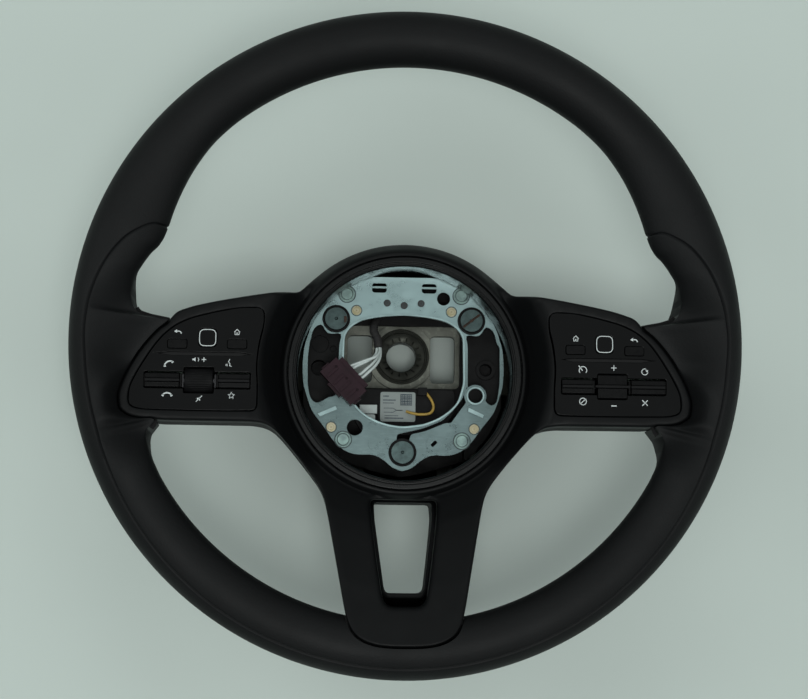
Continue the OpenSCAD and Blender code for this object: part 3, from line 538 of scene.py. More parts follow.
def dressed(name, node, finish, slot, bevel, angle=38, segments=2):
    """A finished copy of a drawn node, with its edges broken, that stands for the node."""
    source = frame["nodes"][node]
    mesh = source.data.copy()
    mesh.name = name
    cage = bmesh.new()
    cage.from_mesh(mesh)
    bmesh.ops.remove_doubles(cage, verts=cage.verts, dist=2e-6)
    bmesh.ops.dissolve_limit(cage, angle_limit=math.radians(1.2), verts=cage.verts, edges=cage.edges)
    cage.to_mesh(mesh)
    cage.free()
    mesh.materials.clear()
    mesh.materials.append(FINISHES[finish])
    piece = link(name, mesh)
    if bevel:
        mod = piece.modifiers.new("edge", "BEVEL")
        mod.width = bevel * MM
        mod.segments = segments
        mod.limit_method = "ANGLE"
        mod.angle_limit = math.radians(angle)
        mod.use_clamp_overlap = True
        settle(piece)
    piece.data.polygons.foreach_set("material_index", [0] * len(piece.data.polygons))
    shade(piece.data, angle)
    if bevel:
        mod = piece.modifiers.new("normals", "WEIGHTED_NORMAL")
        mod.keep_sharp = True
        settle(piece)
    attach(piece, body_of(source)[0])
    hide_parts(node)
    return piece


# ---- finishes


def linear(rgb):
    return tuple((c / 12.92 if c <= 0.04045 else ((c + 0.055) / 1.055) ** 2.4) for c in rgb)


def set_range(node, *values):
    """Values of a map range node: from, up to, and what they become."""
    for key, value in zip(("From Min", "From Max", "To Min", "To Max"), values):
        node.inputs[key].default_value = value


class Finish:
    """A procedural material with a few named steps."""

    def __init__(self, name, colour, roughness, metallic, specular):
        self.material = bpy.data.materials.new(name)
        self.material.use_nodes = True
        self.tree = self.material.node_tree
        self.shader = self.tree.nodes["Principled BSDF"]
        self.shader.inputs["Base Color"].default_value = (*colour, 1)
        self.shader.inputs["Roughness"].default_value = roughness
        self.shader.inputs["Metallic"].default_value = metallic
        self.shader.inputs["Specular IOR Level"].default_value = specular
        self.height = None

    def node(self, kind, **values):
        made = self.tree.nodes.new(kind)
        for key, value in values.items():
            if key in made.inputs:
                made.inputs[key].default_value = value
            else:
                setattr(made, key, value)
        return made

    def wire(self, a, b):
        self.tree.links.new(a, b)

    def place(self):
        return self.node("ShaderNodeTexCoord").outputs["Object"]

    def noise(self, scale, detail=3.0, rough=0.6, stretch=None):
        made = self.node("ShaderNodeTexNoise", Scale=scale, Detail=detail, Roughness=rough)
        source = self.place()
        if stretch:
            turn = self.node("ShaderNodeMapping", Scale=stretch)
            self.wire(source, turn.inputs["Vector"])
            source = turn.outputs["Vector"]
        self.wire(source, made.inputs["Vector"])
        return made.outputs["Fac"]

    def cells(self, scale):
        made = self.node("ShaderNodeTexVoronoi", Scale=scale)
        self.wire(self.place(), made.inputs["Vector"])
        return made.outputs["Distance"]

    def pattern(self, kind):
        """The plan's Y, a noise from a tuple of its settings, or cells from their scale alone."""
        if kind == "Y":
            split = self.node("ShaderNodeSeparateXYZ")
            self.wire(self.place(), split.inputs["Vector"])
            return split.outputs["Y"]
        return self.noise(*kind) if isinstance(kind, tuple) else self.cells(kind)

    def ramp(self, factor, low, high, a=0.3, b=0.7):
        made = self.node("ShaderNodeMapRange")
        set_range(made, a, b, low, high)
        self.wire(factor, made.inputs["Value"])
        return made.outputs["Result"]

    def tint(self, factor, other, a=0.3, b=0.7):
        """Mix the base colour with another one by a pattern."""
        made = self.node("ShaderNodeMix", data_type="RGBA")
        self.wire(self.ramp(factor, 0, 1, a, b), made.inputs["Factor"])
        base = self.shader.inputs["Base Color"]
        if base.is_linked:
            self.wire(base.links[0].from_socket, made.inputs["A"])
        else:
            made.inputs["A"].default_value = base.default_value
        made.inputs["B"].default_value = (*other, 1)
        self.wire(made.outputs["Result"], base)

    def gloss(self, factor, low, high, a=0.3, b=0.7):
        """Roughness between two values by a pattern."""
        self.wire(self.ramp(factor, low, high, a, b), self.shader.inputs["Roughness"])

    def relief(self, factor, distance, strength=0.5):
        """Bump of a depth in millimetres."""
        made = self.node("ShaderNodeBump", Strength=strength, Distance=distance * MM)
        self.wire(factor, made.inputs["Height"])
        if self.height:
            self.wire(self.height, made.inputs["Normal"])
        self.height = made.outputs["Normal"]
        self.wire(self.height, self.shader.inputs["Normal"])


# Name: paint, roughness, metallic, specular, and steps of kind, pattern and values.
# A paint is the name of a colour in the panel with a factor, or plain red, green and blue.
RECIPES = {
    "rim_leather": (("leather", 1), 0.56, 0, 0.16, (
        ("tint", (9, 4), ("leather", 0.72), 0.35, 0.7), ("gloss", (22, 3), 0.5, 0.62),
        ("relief", 1050, 0.1, 0.55), ("relief", (420, 3), 0.16, 0.6), ("relief", (30, 2), 0.5, 0.25))),
    "trim_satin": (("satin", 1), 0.42, 0, 0.11, (
        ("tint", (14, 3), ("satin", 0.75)), ("gloss", (60, 4), 0.36, 0.5), ("relief", (2600, 2), 0.02))),
    "ring_plastic": (("satin", 0.7), 0.26, 0, 0.2, (
        ("gloss", (45, 4), 0.2, 0.34), ("relief", (1800, 2), 0.01, 0.4))),
    "cover_grain": (("satin", 0.8), 0.6, 0, 0.1, (
        ("tint", (18, 3), ("satin", 0.7)), ("relief", 900, 0.08, 0.6))),
    "panel_gloss": (("gloss", 1), 0.1, 0, 0.15, (
        ("gloss", (35, 4), 0.08, 0.17), ("tint", (22, 3), ("gloss", 0.8)), ("relief", (26, 1), 0.05, 0.12))),
    "key_black": (("gloss", 1.1), 0.3, 0, 0.1, (
        ("gloss", (300, 3), 0.24, 0.36), ("tint", (70, 3), ("gloss", 0.8)),
        ("relief", (3000, 2), 0.008, 0.4))),
    "roller_rubber": (("gloss", 1.2), 0.5, 0, 0.1, (
        ("gloss", (180, 3), 0.42, 0.6), ("tint", (120, 2), ("gloss", 1.1)), ("relief", (900, 3), 0.03))),
    "ridge_satin": (("gloss", 1.6), 0.4, 0, 0.12, (("tint", (200, 3), ("gloss", 1.4)),)),
    "zinc_sheet": (("zinc", 1), 0.3, 1, 0.5, (
        ("tint", (38, 6, 0.65), ("zinc", 0.78), 0.38, 0.62),
        ("tint", (160, 5, 0.7, (1, 6, 1)), ("zinc", 1.12), 0.5, 0.75),
        # Painted reflection: this step lightens the zinc towards the top of the plate (larger plan Y), where
        # the plate reflects more light.
        ("tint", "Y", ("zinc", 2.6), -0.02, 0.045),
        ("gloss", (90, 6, 0.7), 0.24, 0.44, 0.35, 0.65), ("relief", (420, 4), 0.02, 0.35))),
    "rivet_zinc": (("zinc", (2, 2.1, 1.9)), 0.42, 0.9, 0.5, (
        ("tint", (160, 5), ("zinc", 0.9)), ("gloss", (300, 4), 0.34, 0.55), ("relief", (700, 4), 0.03))),
    # Painted highlight: bright zinc laid on the lip round the plate's opening, on the eye and on the embossed
    # bars, where their edges catch the light.
    "plate_lip": (("zinc", 2.6), 0.4, 0.7, 0.5, (
        ("tint", (90, 5), ("zinc", 1.7)), ("gloss", (200, 4), 0.34, 0.5))),
    "zinc_shadow": (("zinc", 0.35), 0.5, 0.5, 0.5, (("tint", (200, 4), ("zinc", 0.2)),)),
    "bolt_steel": (("zinc", (0.6, 0.64, 0.62)), 0.36, 1, 0.5, (
        ("tint", (240, 5), ("zinc", 0.34)), ("gloss", (400, 5, 0.7, (1, 5, 1)), 0.26, 0.5),
        ("relief", (900, 4, 0.6, (1, 6, 1)), 0.02))),
    "slot_rust": ((0.022, 0.015, 0.012), 0.7, 0, 0.2, (("tint", (500, 4), (0.06, 0.035, 0.025)),)),
    "stud_brass": (("brass", (0.86, 0.88, 1.15)), 0.36, 0.75, 0.5, (
        ("tint", (300, 4), ("brass", 0.6)), ("gloss", (500, 4), 0.26, 0.45))),
    # Darker brass for the ring painted as shade round each stud's top, and for the dot at its middle.
    "stud_ring": (("brass", 0.4), 0.5, 0.4, 0.5, (("tint", (300, 3), ("brass", 0.7)),)),
    "cast_magnesium": (("casting", 1), 0.5, 0.75, 0.5, (
        ("tint", (45, 6, 0.7), ("casting", 0.55), 0.35, 0.65),
        ("tint", (300, 4), ("casting", 1.5), 0.55, 0.8),
        ("gloss", (130, 5), 0.4, 0.66), ("relief", (700, 5, 0.7), 0.07, 0.6))),
    "boss_steel": (("casting", 0.14), 0.4, 1, 0.5, (
        ("tint", (120, 5), ("casting", 0.08)), ("gloss", (260, 5), 0.3, 0.52), ("relief", (1500, 4), 0.03))),
    "dark_steel": ((0.03, 0.03, 0.032), 0.45, 0.4, 0.5, (
        ("tint", (200, 4), (0.02, 0.02, 0.021)), ("relief", (900, 3), 0.02, 0.4))),
    "carrier_plastic": (("carrier", 1), 0.5, 0, 0.12, (
        ("tint", (30, 4), ("carrier", 0.6)), ("gloss", (120, 4), 0.42, 0.6), ("relief", (1600, 3), 0.03))),
    "plum_plastic": (("plum", 1), 0.42, 0, 0.15, (
        ("tint", (90, 4), ("plum", 0.6)), ("gloss", (200, 4), 0.36, 0.52), ("relief", (1300, 3), 0.03))),
    "white_plastic": (("white", 1), 0.5, 0, 0.4, (
        ("tint", (120, 4), ("white", 0.8)), ("relief", (1500, 3), 0.02, 0.4))),
    "label_paper": (("white", 0.6), 0.62, 0, 0.2, (
        ("tint", (60, 5), ("white", 0.5)), ("relief", (500, 4), 0.03, 0.4))),
    "wire_white": (("white", 1.1), 0.42, 0, 0.45, (("tint", (200, 3), ("white", 0.8)),)),
    "wire_yellow": ((0.46, 0.3, 0.05), 0.42, 0, 0.45, (("tint", (260, 3), (0.3, 0.19, 0.035)),)),
    "cloth_tape": ((0.012, 0.012, 0.013), 0.75, 0, 0.3, (
        ("tint", (200, 4), (0.022, 0.021, 0.02)), ("relief", (2200, 2, 0.5, (1, 1, 3)), 0.12, 0.8))),
    "sign_white": ((0.62, 0.66, 0.66), 0.55, 0, 0.3, (("tint", (900, 3), (0.5, 0.54, 0.54)),)),
    "label_ink": ((0.045, 0.06, 0.08), 0.6, 0, 0.3, (("tint", (900, 3), (0.12, 0.15, 0.17)),)),
    "groove_dark": ((0.0035, 0.0035, 0.0038), 0.6, 0, 0.2, (("relief", (1200, 3), 0.02),)),
    "circuit_board": ((0.02, 0.06, 0.03), 0.45, 0, 0.5, (("tint", (160, 4), (0.012, 0.04, 0.02)),)),
    "table_top": (("table", 1), 0.75, 0, 0.15, (
        ("tint", (2.2, 4), ("table", 0.94)), ("relief", (180, 3), 0.1, 0.2))),
}
FINISHES = {}


def build_finishes(look):
    def colour(paint):
        if not isinstance(paint[0], str):
            return paint
        tone, factor = paint
        factors = factor if isinstance(factor, tuple) else (factor,) * 3
        return tuple(c * f for c, f in zip(getattr(look, tone), factors))

    for name, (paint, roughness, metallic, specular, steps) in RECIPES.items():
        finish = Finish(name, colour(paint), roughness, metallic, specular)
        for kind, pattern, *values in steps:
            if kind == "tint":
                values[0] = colour(values[0])
            getattr(finish, kind)(finish.pattern(pattern), *values)
        FINISHES[name] = finish.material


# ---- sizes and colours


def length_prop(name, description, default, low, high):
    return FloatProperty(
        name=name, description=description, default=default, min=low, max=high, unit="LENGTH",
    )


class WheelSizes(bpy.types.PropertyGroup):
    bevel: length_prop("Edge bevel", "Width of the broken edges on moulded parts", 0.00022, 0.0, 0.001)
    seam_depth: length_prop("Seam depth", "Depth of the leather's seam line", 0.0009, 0.0, 0.002)
    trim_edge: length_prop("Trim edge", "Radius of the trim's outer edge", 0.0018, 0.0005, 0.003)
    camera_height: length_prop("Camera height", "Height of the camera above the boss", 1.0867, 0.5, 2.0)


def colour_prop(name, description, rgb):
    return FloatVectorProperty(
        name=name, description=description, default=linear([c / 255 for c in rgb]),
        size=3, min=0, max=1, subtype="COLOR",
    )


class WheelColours(bpy.types.PropertyGroup):
    leather: colour_prop("Leather", "Black leather of the rim", (16, 17, 18))
    satin: colour_prop("Satin plastic", "Black trim and covers", (13, 14, 15))
    gloss: colour_prop("Gloss plastic", "Black switch panels", (10, 10, 11))
    zinc: colour_prop("Zinc", "Plated sheet of the airbag plate", (97, 112, 113))
    brass: colour_prop("Brass", "Contact studs", (180, 171, 132))
    casting: colour_prop("Casting", "Cast hub and arms", (114, 116, 108))
    carrier: colour_prop("Carrier", "Black moulding below the plate", (11, 11, 12))
    plum: colour_prop("Plum", "Plug on the harness", (40, 18, 28))
    white: colour_prop("White", "Label, latch and wires", (190, 200, 198))
    table: colour_prop("Table", "Pale top that the wheel lies on", (199, 209, 204))


# ---- operators


class WheelJob:
    """What every operator of this file shares."""

    bl_options = {"REGISTER", "UNDO"}
    # Rows of a piece, its drawn node, finish, slot, width of its broken edges, then angle and segments
    rows = ()

    def execute(self, context):
        self.make(context.scene.wheel_sizes, context.scene.wheel_colours)
        return {"FINISHED"}

    def make(self, sizes, look):
        for row in self.rows:
            dressed(*row)


# Lamps: name, place and size in metres, power, tint
LAMPS = [
    ("window_left", (-1.35, 0.35, 1.2), 1.0, 5, (0.94, 1.0, 0.98)),
    ("window_right", (1.35, -0.3, 1.3), 1.0, 3, (0.96, 1.0, 1.0)),
    ("ceiling", (0.0, 1.1, 1.5), 0.8, 2, (0.95, 1.0, 0.99)),
    ("fill", (0.0, -0.5, 1.9), 0.6, 10, (0.97, 1.0, 0.98)),
]


class WHEEL_OT_stage(WheelJob, bpy.types.Operator):
    """Finishes, table, lamps and camera"""

    bl_idname = "wheel.stage"
    bl_label = "Stage and finishes"

    def make(self, sizes, look):
        build_finishes(look)
        self.camera(Vector((-0.0439, -0.1270, sizes.camera_height)), Vector((-0.00187, -0.00566, 0.095)))
        self.table()
        self.room()
        for name, place, size, power, tint in LAMPS:
            lamp = bpy.data.lights.new(name, "AREA")
            lamp.size, lamp.energy, lamp.color = size, power, tint
            item = link(name, lamp)
            item.location = place
            item.rotation_euler = (Vector((0, 0, 0.05)) - Vector(place)).to_track_quat("-Z", "Y").to_euler()

    @staticmethod
    def camera(eye, aim):
        """A camera turned a little about its own line of sight."""
        back = (eye - aim).normalized()
        up = (Vector((0, 1, 0)) - back * back.y).normalized()
        right = up.cross(back)
        roll = math.radians(-0.6754)
        up = up * math.cos(roll) + right * math.sin(roll)
        right = up.cross(back)
        data = bpy.data.cameras.new("view")
        data.lens, data.sensor_width, data.sensor_fit = 81.24, 36, "HORIZONTAL"
        data.clip_end = 20
        camera = bpy.data.objects.new("view", data)
        camera.matrix_world = Matrix((*zip(right, up, back, eye), (0, 0, 0, 1)))
        bpy.context.scene.collection.objects.link(camera)
        bpy.context.scene.camera = camera

    @staticmethod
    def table():
        cage = bmesh.new()
        bmesh.ops.create_grid(cage, x_segments=24, y_segments=24, size=2.4)
        for v in cage.verts:
            v.co.z = REST_Z * MM - 0.00005
        mesh = bpy.data.meshes.new("table")
        cage.to_mesh(mesh)
        cage.free()
        mesh.materials.append(FINISHES["table_top"])
        link("table", mesh)

    @staticmethod
    def room():
        """Soft light all round, brighter from above."""
        world = bpy.data.worlds.new("room")
        world.use_nodes = True
        tree = world.node_tree
        ground = tree.nodes["Background"]
        ramp = tree.nodes.new("ShaderNodeMapRange")
        split = tree.nodes.new("ShaderNodeSeparateXYZ")
        where = tree.nodes.new("ShaderNodeTexCoord")
        tree.links.new(where.outputs["Generated"], split.inputs["Vector"])
        tree.links.new(split.outputs["Z"], ramp.inputs["Value"])
        set_range(ramp, 0.25, 0.95, 0.29, 0.6)
        ground.inputs["Color"].default_value = (0.93, 1.0, 0.98, 1)
        tree.links.new(ramp.outputs["Result"], ground.inputs["Strength"])
        bpy.context.scene.world = world


# Routes of the harness and of the yellow wire
SLEEVE = [(-13, 24, 27), (-15, 20, 32), (-16.8, 15.5, 37.5), (-17.2, 11.5, 40.5), (-15.2, 6.8, 42),
          (-14.5, 1.5, 42.5)]
WIRES = [
    [(-13.9, 1.5, 43.2), (-14.2, -2, 46), (-17, -5, 50), (-22, -7, 51.6), (-27, -9, 51.8),
     (-33.4, -11.4, 51.8)],
    [(-15.4, 1.5, 42.6), (-16, -2.5, 45.4), (-19, -6, 49.6), (-23.5, -8.6, 51.4), (-28, -11, 51.8),
     (-31.7, -13.3, 51.8)],
    [(-14.5, 1.5, 41.6), (-14.8, -3.5, 44.4), (-17.6, -8.2, 49), (-21, -11.6, 51.4), (-24.6, -14.8, 51.8),
     (-28.4, -16.8, 51.8)],
    [(-13.3, 1.5, 42), (-13.6, -4.6, 44.8), (-16, -9.4, 49), (-19.4, -13, 51.4), (-23, -16.4, 51.8),
     (-26.6, -18.6, 51.8)],
]
TAPE_R, TAPE_LAP, TAPE_END_R = 2.5, 0.28, 1.9
SENSOR = [(11.8, -21.5, 31.6), (14.6, -24, 32), (17.4, -28, 32.4), (18.3, -32, 32.4), (16.4, -35, 32.4),
          (12, -35.8, 32.2), (7, -35.4, 31.8), (2.5, -34, 31)]


def through(points, n):
    """Points between the chosen ones, on a curve through them."""
    pts = [Vector(p) for p in points]
    out = []
    for i in range(len(pts) - 1):
        a, b, c, e = pts[max(0, i - 1)], pts[i], pts[i + 1], pts[min(len(pts) - 1, i + 2)]
        for k in range(n):
            t = k / n
            bend, twist = 2 * a - 5 * b + 4 * c - e, 3 * b - 3 * c + e - a
            out.append(0.5 * (2 * b + (c - a) * t + bend * t * t + twist * t**3))
    return out + [pts[-1]]


def cable(name, points, finish):
    """A wire along a line, riding on the wheel."""
    data = bpy.data.curves.new(name, "CURVE")
    data.dimensions = "3D"
    data.bevel_depth = WIRE_D / 2 * MM
    data.bevel_resolution = 3
    data.use_fill_caps = True
    spline = data.splines.new("POLY")
    spline.points.add(len(points) - 1)
    for knot, p in zip(spline.points, points):
        knot.co = (*(p * MM), 1)
    data.materials.append(FINISHES[finish])
    piece = link(name, data)
    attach(piece, "wheel")
    return piece


def taped_sleeve():
    """A tube with the ridges of the tape wound on it."""
    line = through(SLEEVE, 14)
    points = []
    sides = 24
    n = len(line)
    for i, p in enumerate(line):
        ahead = (line[min(n - 1, i + 1)] - line[max(0, i - 1)]).normalized()
        side = ahead.cross(Vector((0, 0, 1))).normalized()
        top = side.cross(ahead)
        for k in range(sides):
            t = 2 * math.pi * k / sides
            wind = (i / 7 + k / sides) % 1
            r = TAPE_R - TAPE_LAP * wind if 0 < i < n - 1 else TAPE_END_R
            points.append(p + side * r * math.cos(t) + top * r * math.sin(t))
    faces = weave(n, sides)
    faces.append(list(range(sides))[::-1])
    faces.append(list(range((n - 1) * sides, n * sides)))
    return make_piece("harness_tape", points, faces, "cloth_tape", angle=30)


class WHEEL_OT_cables(WheelJob, bpy.types.Operator):
    """Harness from the hub to its plug, and the yellow sensor wire"""

    bl_idname = "wheel.cables"
    bl_label = "Cables"

    def make(self, sizes, look):
        sleeve = taped_sleeve()
        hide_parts("harness_sleeve")
        plug = dressed("harness_plug", "harness_connector", "plum_plastic", "plum_plastic", 0.3)
        spots = [(-0.9, 0.6), (-0.9, -0.7), (0.8, 0.7), (0.8, -0.6)]
        for number, (route, spot) in enumerate(zip(WIRES, spots)):
            hidden = [(x + spot[0], y + spot[1] * 0.5, z + spot[1]) for x, y, z in SLEEVE[:-1]]
            line = through(hidden + route, 5)
            piece = cable(f"harness_wire_{number + 1}", line, "wire_white")
        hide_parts("harness_wires")
        yellow = cable("sensor_lead", through(SENSOR, 6), "wire_yellow")
        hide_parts("sensor_wire")


# Steps round the rim from six to twelve o'clock: each row's step goes up to its angle
RIM_STEPS = [(-24, 1.0), (-14.01, 0.2), (2, 0.5), (7.99, 0.2), (30, 0.3), (56, 0.8), (91, 1.0)]


def rim_angles():
    """Angles round the wheel, close together where the rim changes shape."""
    half = []
    a = -90.0
    while a < 90 - 1e-6:
        half.append(a)
        a = round(a + next(step for limit, step in RIM_STEPS if a < limit), 4)
    return half + [90.0] + [180 - v for v in reversed(half[1:])]


class WHEEL_OT_rim(WheelJob, bpy.types.Operator):
    """Leather grip with thumb rests, spoke roots and seam line"""

    bl_idname = "wheel.rim"
    bl_label = "Rim"

    def make(self, sizes, look):
        seam_points = []
        for k in range(0, 1144):
            s = -90 + k * 0.1
            r = SEAM_LINE(s)
            f = self.section_angle(s, r)
            for a in (s, 180 - s):
                seam_points.append(grip_point(a, f))
        for k in range(0, 60):
            f = mix(self.section_angle(SEAM_END, 145.4), 250, k / 59)
            for a in (SEAM_END, 155.7):
                seam_points.append(grip_point(a, f))
        tree = KDTree(len(seam_points))
        for k, p in enumerate(seam_points):
            tree.insert(p, k)
        tree.balance()
        offsets = [0, 0.28, 0.56, 0.9, 1.3, 1.9, 2.8]
        degrees = [v * DEGREES_PER_MM for v in offsets]
        rest = [degrees[-1] + (360 - 2 * degrees[-1]) * (k / 44) for k in range(1, 44)]
        spread = degrees + rest + [360 - v for v in reversed(degrees[1:])]
        angles = rim_angles()
        depth = sizes.seam_depth / MM
        points = []
        for a in angles:
            s = side_angle(a)
            start = self.section_angle(s, SEAM_LINE(s)) if s < SEAM_END else 170.0
            middle = grip_point(a, 90) * 0.5 + grip_point(a, 270) * 0.5
            for v in spread:
                p = grip_point(a, start + v)
                gap = tree.find(p)[2]
                if gap < 2.5:
                    p = p + (middle - p).normalized() * depth * math.exp(-((gap / SEAM_WIDTH) ** 2))
                points.append(p)
        faces = [face[:1] + face[:0:-1] for face in weave(len(angles), len(spread), joined=True)]
        rim = make_piece("leather_rim", points, faces, "rim_leather", angle=60)
        cut = self.tongue_room()
        mod = rim.modifiers.new("spoke", "BOOLEAN")
        mod.object, mod.operation, mod.solver = cut, "DIFFERENCE", "EXACT"
        settle(rim)
        bpy.data.objects.remove(cut)
        rim.data.polygons.foreach_set("material_index", [0] * len(rim.data.polygons))
        while len(rim.data.materials) > 1:
            rim.data.materials.pop()
        shade(rim.data, 50)
        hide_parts("rim_grip")

    @staticmethod
    def section_angle(s, r):
        """Section angle at which the front of the grip has a radius."""
        inner = grip_in(s)
        c = (r - RIM_R) / (GRIP_R * GRIP_SHARE if r > RIM_R else RIM_R - inner)
        return math.degrees(math.acos(max(-1.0, min(1.0, c))))

    @staticmethod
    def tongue_room():
        """The room that the lower spoke takes in the rim."""
        half = [(60, -120, 0.1), (46, -127, 0.1), (33.6, -145), (31.7, -153.2, 5), (28.3, -160.5, 6),
                (21.3, -165.1, 8), (11, -167.4, 12)]
        line = even(soften(mirrored(half), 30, 6), 1.5)
        n = len(line)
        points = [(p.x, p.y, z) for z in (99.5, 125) for p in line]
        order = 1 if area(line) > 0 else -1
        faces = [list(range(n))[::-order], list(range(n, 2 * n))[::order]]
        faces += [face[::order] for face in weave(2, n)]
        return link("room", mesh_of("room", points, faces))


class WHEEL_OT_trim(WheelJob, bpy.types.Operator):
    """Front moulding of hub, wings and lower spoke"""

    bl_idname = "wheel.trim"
    bl_label = "Front trim"

    def make(self, sizes, look):
        outline = even(soften(cover_outline(), steps=6), 1.4)
        hub = circle_outline(*HUB, HUB_OPENING, 288)
        slot = even(soften(mirrored(SLOT), steps=6), 1.2)
        window = even(soften(self.grown(SEAM), steps=6), 1.2)
        other = [Vector((-p.x, p.y)) for p in window]
        fill = []
        for r in (67.2, 67.8, 68.4, 69, 69.7, 70.4, 71.2, 72.2, 73.4, 75, 77, 78, 79, 80, 81.2, 82.6, 84,
                  85.2, 86.5, 88, 90, 92.5):
            fill += [polar(r, h * 1.5, *HUB) for h in range(240)]
        fill += [p for p in grid(-160, 160, -170, 62, 2.6) if math.hypot(p[0] - HUB[0], p[1] - HUB[1]) > 94]
        edge = sizes.trim_edge / MM

        def depth(y):
            """The side walls are lower where the spoke runs into the rim."""
            return 7.5 if y < -140 else 9.8

        points, faces = lifted(
            [(outline, edge), (hub, 0.4), (slot, 2.4), (window, 0.7), (other, 0.7)], front_height, fill, depth)
        trim = make_piece("front_moulding", points, faces, "trim_satin", angle=40)
        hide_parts("front_trim")
        # A dark strip below each wing's outer edge closes the joint with the leather
        for sign, name in ((1, "right"), (-1, "left")):
            strip = Signs(84.5)
            line = []
            for k in range(50):
                a = 6 - k * 0.52
                x, y = polar(grip_in(a) + 0.2, a)
                line.append((sign * x, y))
            strip.stroke(line, 4.4)
            strip.make(f"{name}_seam_strip", "groove_dark", "trim_plastic")

    @staticmethod
    def grown(gap):
        """The switch module's outline, larger by a gap all round."""
        loop = even(soften(MODULE, steps=6), 1.2)
        if area(loop) < 0:
            loop.reverse()
        return [p - n * gap for p, n in zip(loop, normals(loop))]


class WHEEL_OT_hub_ring(WheelJob, bpy.types.Operator):
    """Liner ring round the airbag's opening"""

    bl_idname = "wheel.hub_ring"
    bl_label = "Hub liner"

    rows = [("hub_ring", "hub_liner", "ring_plastic", "trim_plastic", 0.35, 38, 3)]


class WHEEL_OT_panels(WheelJob, bpy.types.Operator):
    """Gloss panels of the switch modules"""

    bl_idname = "wheel.panels"
    bl_label = "Switch panels"

    rows = [
        ("left_gloss_panel", "left_panel", "panel_gloss", "gloss_black", 0.3, 38, 3),
        ("right_gloss_panel", "right_panel", "panel_gloss", "gloss_black", 0.3, 38, 3),
    ]


def volume_barrel():
    """The volume roller: a ribbed barrel with turned ends."""
    points = []
    ends = [(-7.7, 5.2), (-7.7, 6.3), (-7.5, 6.55), (-7.1, 6.66)]
    rows = ends + [(-7.1 + 14.2 * k / 8, 6.72) for k in range(1, 8)] + [(-x, r) for x, r in reversed(ends)]
    turns, ribs, rib_height = 288, 36, 0.15
    for i in range(turns):
        t = 2 * math.pi * i / turns
        rib = rib_height * max(0, math.cos(ribs * t))
        for x, r in rows:
            q = r + (rib if abs(x) < 7 else 0)
            points.append((ROLLER[0] + x, ROLLER[1] + q * math.cos(t), ROLLER[2] + q * math.sin(t)))
    m = len(rows)
    faces = weave(turns, m, joined=True, ring=False)
    faces.append([i * m for i in range(turns)][::-1])
    faces.append([i * m + m - 1 for i in range(turns)])
    barrel = make_piece("volume_barrel", points, faces, "roller_rubber", "roller_body", 30)
    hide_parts("volume_roller")


class WHEEL_OT_keys(WheelJob, bpy.types.Operator):
    """Touch pads, keys, rockers and the volume roller"""

    bl_idname = "wheel.keys"
    bl_label = "Keys"

    def make(self, sizes, look):
        bevel = sizes.bevel / MM
        for node in ("left_pad", "right_pad"):
            dressed(f"{node}_cap", node, "panel_gloss", "key_plastic", bevel)
        for node in ("left_home_key", "left_back_key", "right_home_key", "right_back_key", "call_rocker",
                     "voice_rocker", "limit_rocker", "resume_rocker", "speed_rocker"):
            dressed(f"{node}_cap", node, "key_black", "key_plastic", bevel)
        volume_barrel()
        top = self.top_of("left_pad") + INK
        for x, body in ((-109.6, "left_pad_body"), (109.6, "right_pad_body")):
            s = Signs(top)
            s.stroke(even(block_outline(x, -0.3, 8.9, 9.0, 2.9), 0.7), 0.42, True)
            s.make(f"{body}_outline", "sign_white", "label", body)
        for row, x0, x1 in (("call", -143.4, -124.6), ("voice", -103.4, -86.6), ("limit", 86.6, 103.4),
                            ("resume", 124.6, 143.4), ("speed", 104.4, 123.6)):
            s = Signs(self.top_of(f"{row}_rocker") + INK)
            s.field([(x0, SLOT_Y - 0.6), (x1, SLOT_Y - 0.6), (x1, SLOT_Y + 0.6), (x0, SLOT_Y + 0.6)])
            s.make(f"{row}_rocker_ridge", "ridge_satin", "key_plastic", f"{row}_body")

    @staticmethod
    def top_of(node):
        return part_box(node)[1][2] / MM


class WHEEL_OT_castings(WheelJob, bpy.types.Operator):
    """Cast frame, steel boss, rear cover and their screws"""

    bl_idname = "wheel.castings"
    bl_label = "Castings and covers"

    rows = [
        ("cast_hub", "hub_casting", "cast_magnesium", "cast_magnesium", 0.5),
        ("cast_arms", "armature", "cast_magnesium", "cast_magnesium", 0.3),
        ("ring_bar", "rim_core", "dark_steel", "dark_steel", 0),
        ("steel_boss", "shaft_boss", "boss_steel", "boss_steel", 0.25),
        ("back_cover", "rear_cover", "cover_grain", "cover_plastic", 0, 50),
        ("wing_back_covers", "wing_covers", "cover_grain", "cover_plastic", 0, 50),
        ("spoke_back_cover", "spoke_cover", "cover_grain", "cover_plastic", 0, 50),
        ("cover_screws", "rear_screws", "dark_steel", "dark_steel", 0.2),
        ("case_screws", "module_screws", "dark_steel", "dark_steel", 0.2),
        ("left_switch_case", "left_case", "carrier_plastic", "case_plastic", 0.2),
        ("left_circuit", "left_board", "circuit_board", "board", 0.1),
        ("right_switch_case", "right_case", "carrier_plastic", "case_plastic", 0.2),
        ("right_circuit", "right_board", "circuit_board", "board", 0.1),
    ]


class WHEEL_OT_plate(WheelJob, bpy.types.Operator):
    """Zinc plated airbag plate with its rivets, studs and pins"""

    bl_idname = "wheel.plate"
    bl_label = "Airbag plate"

    rows = [
        ("zinc_plate", "airbag_plate", "zinc_sheet", "zinc_sheet", 0.3, 38, 3),
        ("plate_bushes", "guide_bushes", "carrier_plastic", "bush_plastic", 0.25),
        ("corner_rivets", "plate_rivets", "rivet_zinc", "rivet_zinc", 0.25),
        ("brass_studs", "contact_studs", "stud_brass", "brass", 0.25),
        ("black_pins", "plate_pins", "dark_steel", "dark_steel", 0.2),
    ]


